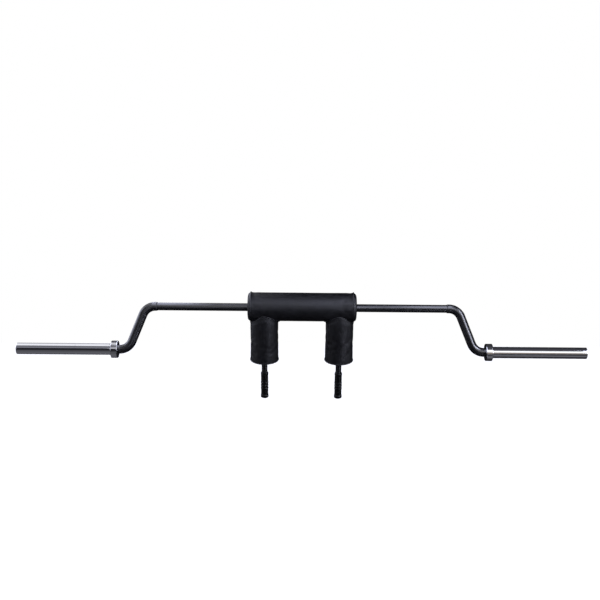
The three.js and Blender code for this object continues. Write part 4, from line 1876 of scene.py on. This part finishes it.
@dataclass
class PadSet:
    """The three pads with their seams and closures."""

    welt_radius: float = 2.6 * MM
    welt_clear: float = 1 * MM  # from the centre pad to the welt's line
    stitch_clear: float = 5 * MM  # from the centre pad to the stitches beside the welt
    joint_span: tuple[float, float] = (5 * MM, 110 * MM)  # where down the handle pad the joint can lie
    halvings: int = 10  # how often that span is halved to find the joint

    def build(self) -> None:
        """Makes the centre pad first, and sews the handle pads to it."""
        shape = center_pad_shape()
        panels = tuple(f"center_panel_{side.word}" for side in Side)
        handles = tuple(handle_pad_shape(side) for side in Side)
        center = RollPad("center_pad", shape, ("center_cover", "center_foam", *panels))
        surface = PadSurface(center.build(sewn_on=handles))
        for side in Side:
            node = f"center_piping_{side.word}"
            EndSeam(f"{node}_fine", shape, (node,), side.value).build(surface)
        BackClosure(
            "center",
            shape,
            ("center_loop_tape", "center_flap"),
            near=-205 * MM,
            far=205 * MM,
            turn=math.radians(25),
        ).build(surface)
        for side in Side:
            self._handle_pad(side, shape, surface)

    def _handle_pad(self, side: Side, center: PadShape, center_surface: PadSurface) -> None:
        """Makes one handle pad with its seams and closure.

        Args:
            side: The handle's side.
            center: The centre pad's sizes.
            center_surface: The centre pad.
        """
        word = side.word
        shape = handle_pad_shape(side)
        nodes = (f"{word}_handle_cover", f"{word}_handle_foam", f"{word}_handle_panel")
        pad = RollPad(f"{word}_handle_pad", shape, nodes).build(center)
        surface = PadSurface(pad)
        EndSeam(f"{word}_handle_piping_fine", shape, (f"{word}_handle_piping",)).build(surface)
        BackClosure(
            f"{word}_handle",
            shape,
            (f"{word}_handle_loop_tape", f"{word}_handle_flap"),
            near=75.5 * MM,
            far=226 * MM,
            side=side.value,
        ).build(surface)
        stitches = bmesh.new()
        Stitching().row(stitches, self._joint_path(shape, surface, center_surface, self.stitch_clear))
        settle(f"{word}_joint_stitches", stitches, THREAD, Body.FRAME, crease=80)
        path = self._joint_path(shape, surface, center_surface, self.welt_clear)
        welt = corded([point for point, _ in path[:-1]], self.welt_radius)
        settle(f"{word}_joint_welt", welt, WELT, Body.FRAME, crease=80)

    def _joint_path(
        self, shape: PadShape, surface: PadSurface, center_surface: PadSurface, clear: float
    ) -> Path:
        """Finds the line round a handle pad beside the seam where it meets the centre pad.

        Args:
            shape: The handle pad's sizes.
            surface: The handle pad.
            center_surface: The centre pad.
            clear: How far from the centre pad the line runs.

        Returns:
            The line on the handle pad.
        """
        path = []
        for angle in ROUND:
            near, far = self.joint_span
            for _ in range(self.halvings):
                middle = (near + far) / 2
                point, normal = surface.under(shape, middle, angle)
                closest, out = center_surface.nearest(point)
                if (point - closest).dot(out) > clear:
                    far = middle
                else:
                    near = middle
            path.append((point, normal))
        return path


# The studio


def bare_nodes(holder: Material | bpy.types.World) -> NodeTree:
    """Gives a material or world its own nodes.

    Args:
        holder: The material or world.

    Returns:
        Its node tree, with nothing in it.
    """
    holder.use_nodes = True
    holder.node_tree.nodes.clear()
    return holder.node_tree


@dataclass
class Card:
    """A long soft light or dark drape, curved about the bar, that only shows in reflections."""

    name: str
    from_x: float
    to_x: float
    low: float  # degrees above the way to the camera
    high: float
    colour: str
    strength: float = 1.0
    radius: float = 1.05
    steps: int = 16

    def build(self) -> None:
        """Makes the card round the sleeves' axis."""
        made = bmesh.new()
        low, high = math.radians(self.low), math.radians(self.high)
        for x in (self.from_x, self.to_x):
            made.verts.new((x, -self.radius * math.cos(low), self.radius * math.sin(low)))
        made.edges.new(made.verts[:])
        swung(made, made.verts[:] + made.edges[:], (0, 0, 0), (1, 0, 0), low - high, self.steps)
        made.transform(Matrix.Translation((0, 0, -SLEEVE_DROP)))
        card = into_scene(self.name, made)
        material = bpy.data.materials.new(self.name)
        tree = bare_nodes(material)
        light = {"Color": linear(self.colour), "Strength": self.strength}
        glow = add_node(tree, "ShaderNodeEmission", None, light)
        add_node(tree, "ShaderNodeOutputMaterial", None, {"Surface": glow.outputs["Emission"]})
        card.data.materials.append(material)
        for ray in ("camera", "diffuse", "transmission", "volume_scatter", "shadow"):
            setattr(card, f"visible_{ray}", False)


@dataclass
class Studio:
    """Camera, floor, world and lights."""

    camera_place: tuple[float, float, float] = (-0.0092, -4.07, 0.0326)
    camera_roll: float = math.radians(0.5)
    lens: float = 57.0
    floor_level: float = -1.34
    floor_radius: float = 26
    floor_colour: str = "#e9e9ea"
    floor_glow: float = 0.42  # what the floor lacks of the backdrop's white, where rays see it
    ambient: float = 0.55
    ambient_colour: str = "#e6e9ff"
    sun_spread: float = math.radians(30)

    def build(self) -> None:
        """Sets everything round the bar."""
        self._camera()
        self._world()
        self._floor()
        self._lights()
        for card in self._cards():
            card.build()
        bpy.context.scene.view_settings.view_transform = "Standard"

    def _camera(self) -> None:
        """Sets a camera that looks level along +Y, with the roll that the photograph shows."""
        data = bpy.data.cameras.new("camera")
        data.lens = self.lens
        data.sensor_width = 36
        data.sensor_fit = "HORIZONTAL"
        data.dof.use_dof = False
        data.clip_end = 60
        camera = bpy.data.objects.new("camera", data)
        bpy.context.scene.collection.objects.link(camera)
        sine, cosine = math.sin(self.camera_roll), math.cos(self.camera_roll)
        turn = Matrix(((cosine, -sine, 0), (0, 0, -1), (sine, cosine, 0))).to_4x4()
        camera.matrix_world = Matrix.Translation(self.camera_place) @ turn
        bpy.context.scene.camera = camera

    @staticmethod
    def _seen(tree: NodeTree) -> NodeSocket:
        """Tells rays that see the backdrop as such from those that it lights.

        Args:
            tree: The node tree.

        Returns:
            One for camera, glossy and transmission rays, and otherwise zero.
        """
        rays = add_node(tree, "ShaderNodeLightPath").outputs
        seen = rays["Is Camera Ray"]
        for kind in ("Is Glossy Ray", "Is Transmission Ray"):
            either = add_node(tree, "ShaderNodeMath", {"operation": "MAXIMUM"}, {0: seen, 1: rays[kind]})
            seen = either.outputs[0]
        return seen

    def _world(self) -> None:
        """Sets a white backdrop that lights the bar at a plain level."""
        world = bpy.data.worlds.new("white_studio")
        bpy.context.scene.world = world
        tree = bare_nodes(world)
        plain = {"Color": linear(self.ambient_colour), "Strength": self.ambient}
        light = add_node(tree, "ShaderNodeBackground", None, plain)
        white = add_node(tree, "ShaderNodeBackground", None, {"Color": (1, 1, 1, 1), "Strength": 1.0})
        either = add_node(
            tree,
            "ShaderNodeMixShader",
            None,
            {0: self._seen(tree), 1: light.outputs["Background"], 2: white.outputs["Background"]},
        )
        add_node(tree, "ShaderNodeOutputWorld", None, {"Surface": either.outputs["Shader"]})

    def _floor(self) -> None:
        """Lays a pale floor that keeps the bar's shadow."""
        made = bmesh.new()
        level = Matrix.Translation((0, 0, self.floor_level))
        bmesh.ops.create_circle(made, cap_ends=True, radius=self.floor_radius, segments=64, matrix=level)
        floor = into_scene("floor", made)
        material = bpy.data.materials.new("matt_white_floor")
        tree = bare_nodes(material)
        matt = add_node(tree, "ShaderNodeBsdfDiffuse", None, {"Color": linear(self.floor_colour)})
        lift = add_node(
            tree, "ShaderNodeMath", {"operation": "MULTIPLY"}, {0: self._seen(tree), 1: self.floor_glow}
        )
        glow = add_node(tree, "ShaderNodeEmission", None, {"Strength": lift.outputs[0]})
        both = add_node(tree, "ShaderNodeAddShader", None, {0: matt.outputs[0], 1: glow.outputs[0]})
        add_node(tree, "ShaderNodeOutputMaterial", None, {"Surface": both.outputs[0]})
        floor.data.materials.append(material)

    def _lights(self) -> None:
        """Sets broad suns for the plain light. What shines in the surfaces is left to the cards."""
        for name, energy, turn in (
            ("key_sun", 1.2, (50, 0, 32)),
            ("fill_sun", 0.45, (68, 0, -48)),
            ("back_sun", 0.4, (-55, 0, 20)),
        ):
            data = bpy.data.lights.new(name, "SUN")
            data.energy = energy
            data.angle = self.sun_spread
            lamp = bpy.data.objects.new(name, data)
            bpy.context.scene.collection.objects.link(lamp)
            lamp.rotation_euler = tuple(math.radians(t) for t in turn)
            lamp.visible_glossy = False

    @staticmethod
    def _cards() -> list[Card]:
        """Lists the soft lights and the dark drapes that the chrome, paint and leatherette reflect.

        Returns:
            The cards, with where each runs along the bar and how high it starts and ends.
        """
        return [
            Card("right_drape_top", 0.95, 5.0, 78, 128, "#3c3c41"),
            Card("right_grey_top", 0.95, 1.36, 47, 78, "#4c4c52"),
            Card("right_grey_far", 1.36, 5.0, 62, 78, "#4c4c52"),
            Card("right_haze", 0.95, 1.36, 35, 47, "#88888f"),
            Card("right_softbox", 0.95, 1.36, 4, 35, "#ffffff", 1.5),
            Card("right_softbox_end", 1.40, 1.69, 4, 35, "#ffffff", 1.5, 1.5),
            Card("right_haze_end", 1.40, 1.69, 35, 47, "#88888f", 1.0, 1.5),
            Card("right_grey_end", 1.40, 1.69, 47, 66, "#4c4c52", 1.0, 1.5),
            Card("right_key", 1.69, 2.3, 4, 64, SOFTBOX, 14.0, 1.5),
            Card("right_key_far", 2.3, 6.0, 4, 64, "#2a2a2e", 1.0, 1.5),
            Card("right_side", 2.6, 6.0, -25, 20, SOFTBOX, 6.5, 1.04),
            Card("right_horizon", 0.95, 5.0, -17, 4, "#a0958b"),
            Card("right_line", 0.95, 5.0, -24, -17, "#3a3a3e"),
            Card("right_wall", 0.95, 5.0, -34, -24, "#5c5c60"),
            Card("right_skirt", 0.95, 5.0, -48, -34, "#2a2a2e"),
            Card("right_ground", 0.95, 5.0, -82, -48, "#6b6b70"),
            Card("right_ground_far", 0.95, 5.0, -128, -82, "#343438"),
            Card("left_back_top", -5.0, -0.95, 118, 165, "#b4b4ba"),
            Card("left_side_soft", -6.0, -2.75, 40, 175, SOFTBOX, 1.9, 1.03),
            Card("left_side_low", -6.0, -2.75, -15, 40, SOFTBOX, 4.5, 1.03),
            Card("left_side_back", -2.75, -1.65, 80, 183, SOFTBOX, 3.5, 1.03),
            Card("left_softbox_top", -5.0, -0.95, 66, 118, "#f6f6fa", 1.22),
            Card("left_collar_top", -1.023, -0.95, 98, 165, "#55555a", 1.0, 1.04),
            Card("left_collar_soft", -1.023, -0.95, 66, 98, "#e4e4e8", 1.0, 1.04),
            Card("left_collar_haze", -1.023, -0.95, 50, 66, "#94949a", 1.0, 1.04),
            Card("left_haze", -5.0, -0.95, 36, 66, "#75757b"),
            Card("left_lavender", -5.0, -0.95, 17, 36, "#8a8a92"),
            Card("left_collar_line", -1.023, -0.95, 8, 24, "#d0d0d6", 1.0, 1.04),
            Card("left_drape", -5.0, -0.95, -28, 17, "#2b2b2f"),
            Card("left_ground", -5.0, -0.95, -62, -28, "#58585c"),
            Card("left_ground_far", -5.0, -0.95, -128, -62, "#66666b"),
            Card("left_back_low", -5.0, -0.95, 165, 232, "#19191c"),
            Card("middle_key", 0.55, 0.95, 26, 78, SOFTBOX, 4.6),
            Card("middle_key_top", 0.33, 0.95, 78, 98, SOFTBOX, 0.5),
            Card("middle_haze", 0.33, 0.55, 18, 78, SOFTBOX, 1.3),
            Card("pad_softbox_right", 0.12, 0.33, 8, 58, SOFTBOX, 3.4),
            Card("pad_softbox", -0.25, 0.12, 12, 58, SOFTBOX, 1.6),
            Card("overhead_left", -0.95, -0.55, 56, 150, SOFTBOX, 4.4),
            Card("overhead_left_low", -0.95, -0.55, 38, 56, SOFTBOX, 2.0),
            Card("overhead_middle", -0.55, -0.25, 56, 92, SOFTBOX),
            Card("left_glow", -0.72, -0.32, -22, 2, SOFTBOX, 0.8, 1.04),
            Card("middle_drape_top", -0.25, 0.33, 58, 128, "#1a1a1e"),
            Card("middle_drape_high", 0.33, 0.95, 98, 128, "#1a1a1e"),
            Card("middle_drape_front", -0.95, 0.12, -128, 12, DRAPE),
            Card("middle_drape_right", 0.12, 0.64, -128, 8, DRAPE),
            Card("window_head", 0.64, 0.95, -16, 14, "#1c1c20"),
            Card("window_sill", 0.64, 0.95, -128, -50, DRAPE),
            Card("side_softbox_low", 1.04, 1.36, -49, -18, SOFTBOX, 7.6, 1.5),
            Card("far_drape", 0.5, 4.0, -49, 10, DRAPE, 1.0, 1.54),
            Card("back_drape", -0.95, 5.0, 128, 232, "#1c1c20"),
        ]


def main() -> None:
    """Builds the studio and the bar."""
    logging.basicConfig(level=logging.INFO, format="%(name)s: %(message)s")
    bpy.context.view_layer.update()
    Studio().build()
    CenterTube().build()
    for side in Side:
        CamberTube(side).build()
        SleeveAssembly(side).build()
        Handle(side).build()
    PadSet().build()


if __name__ == "__main__":
    main()
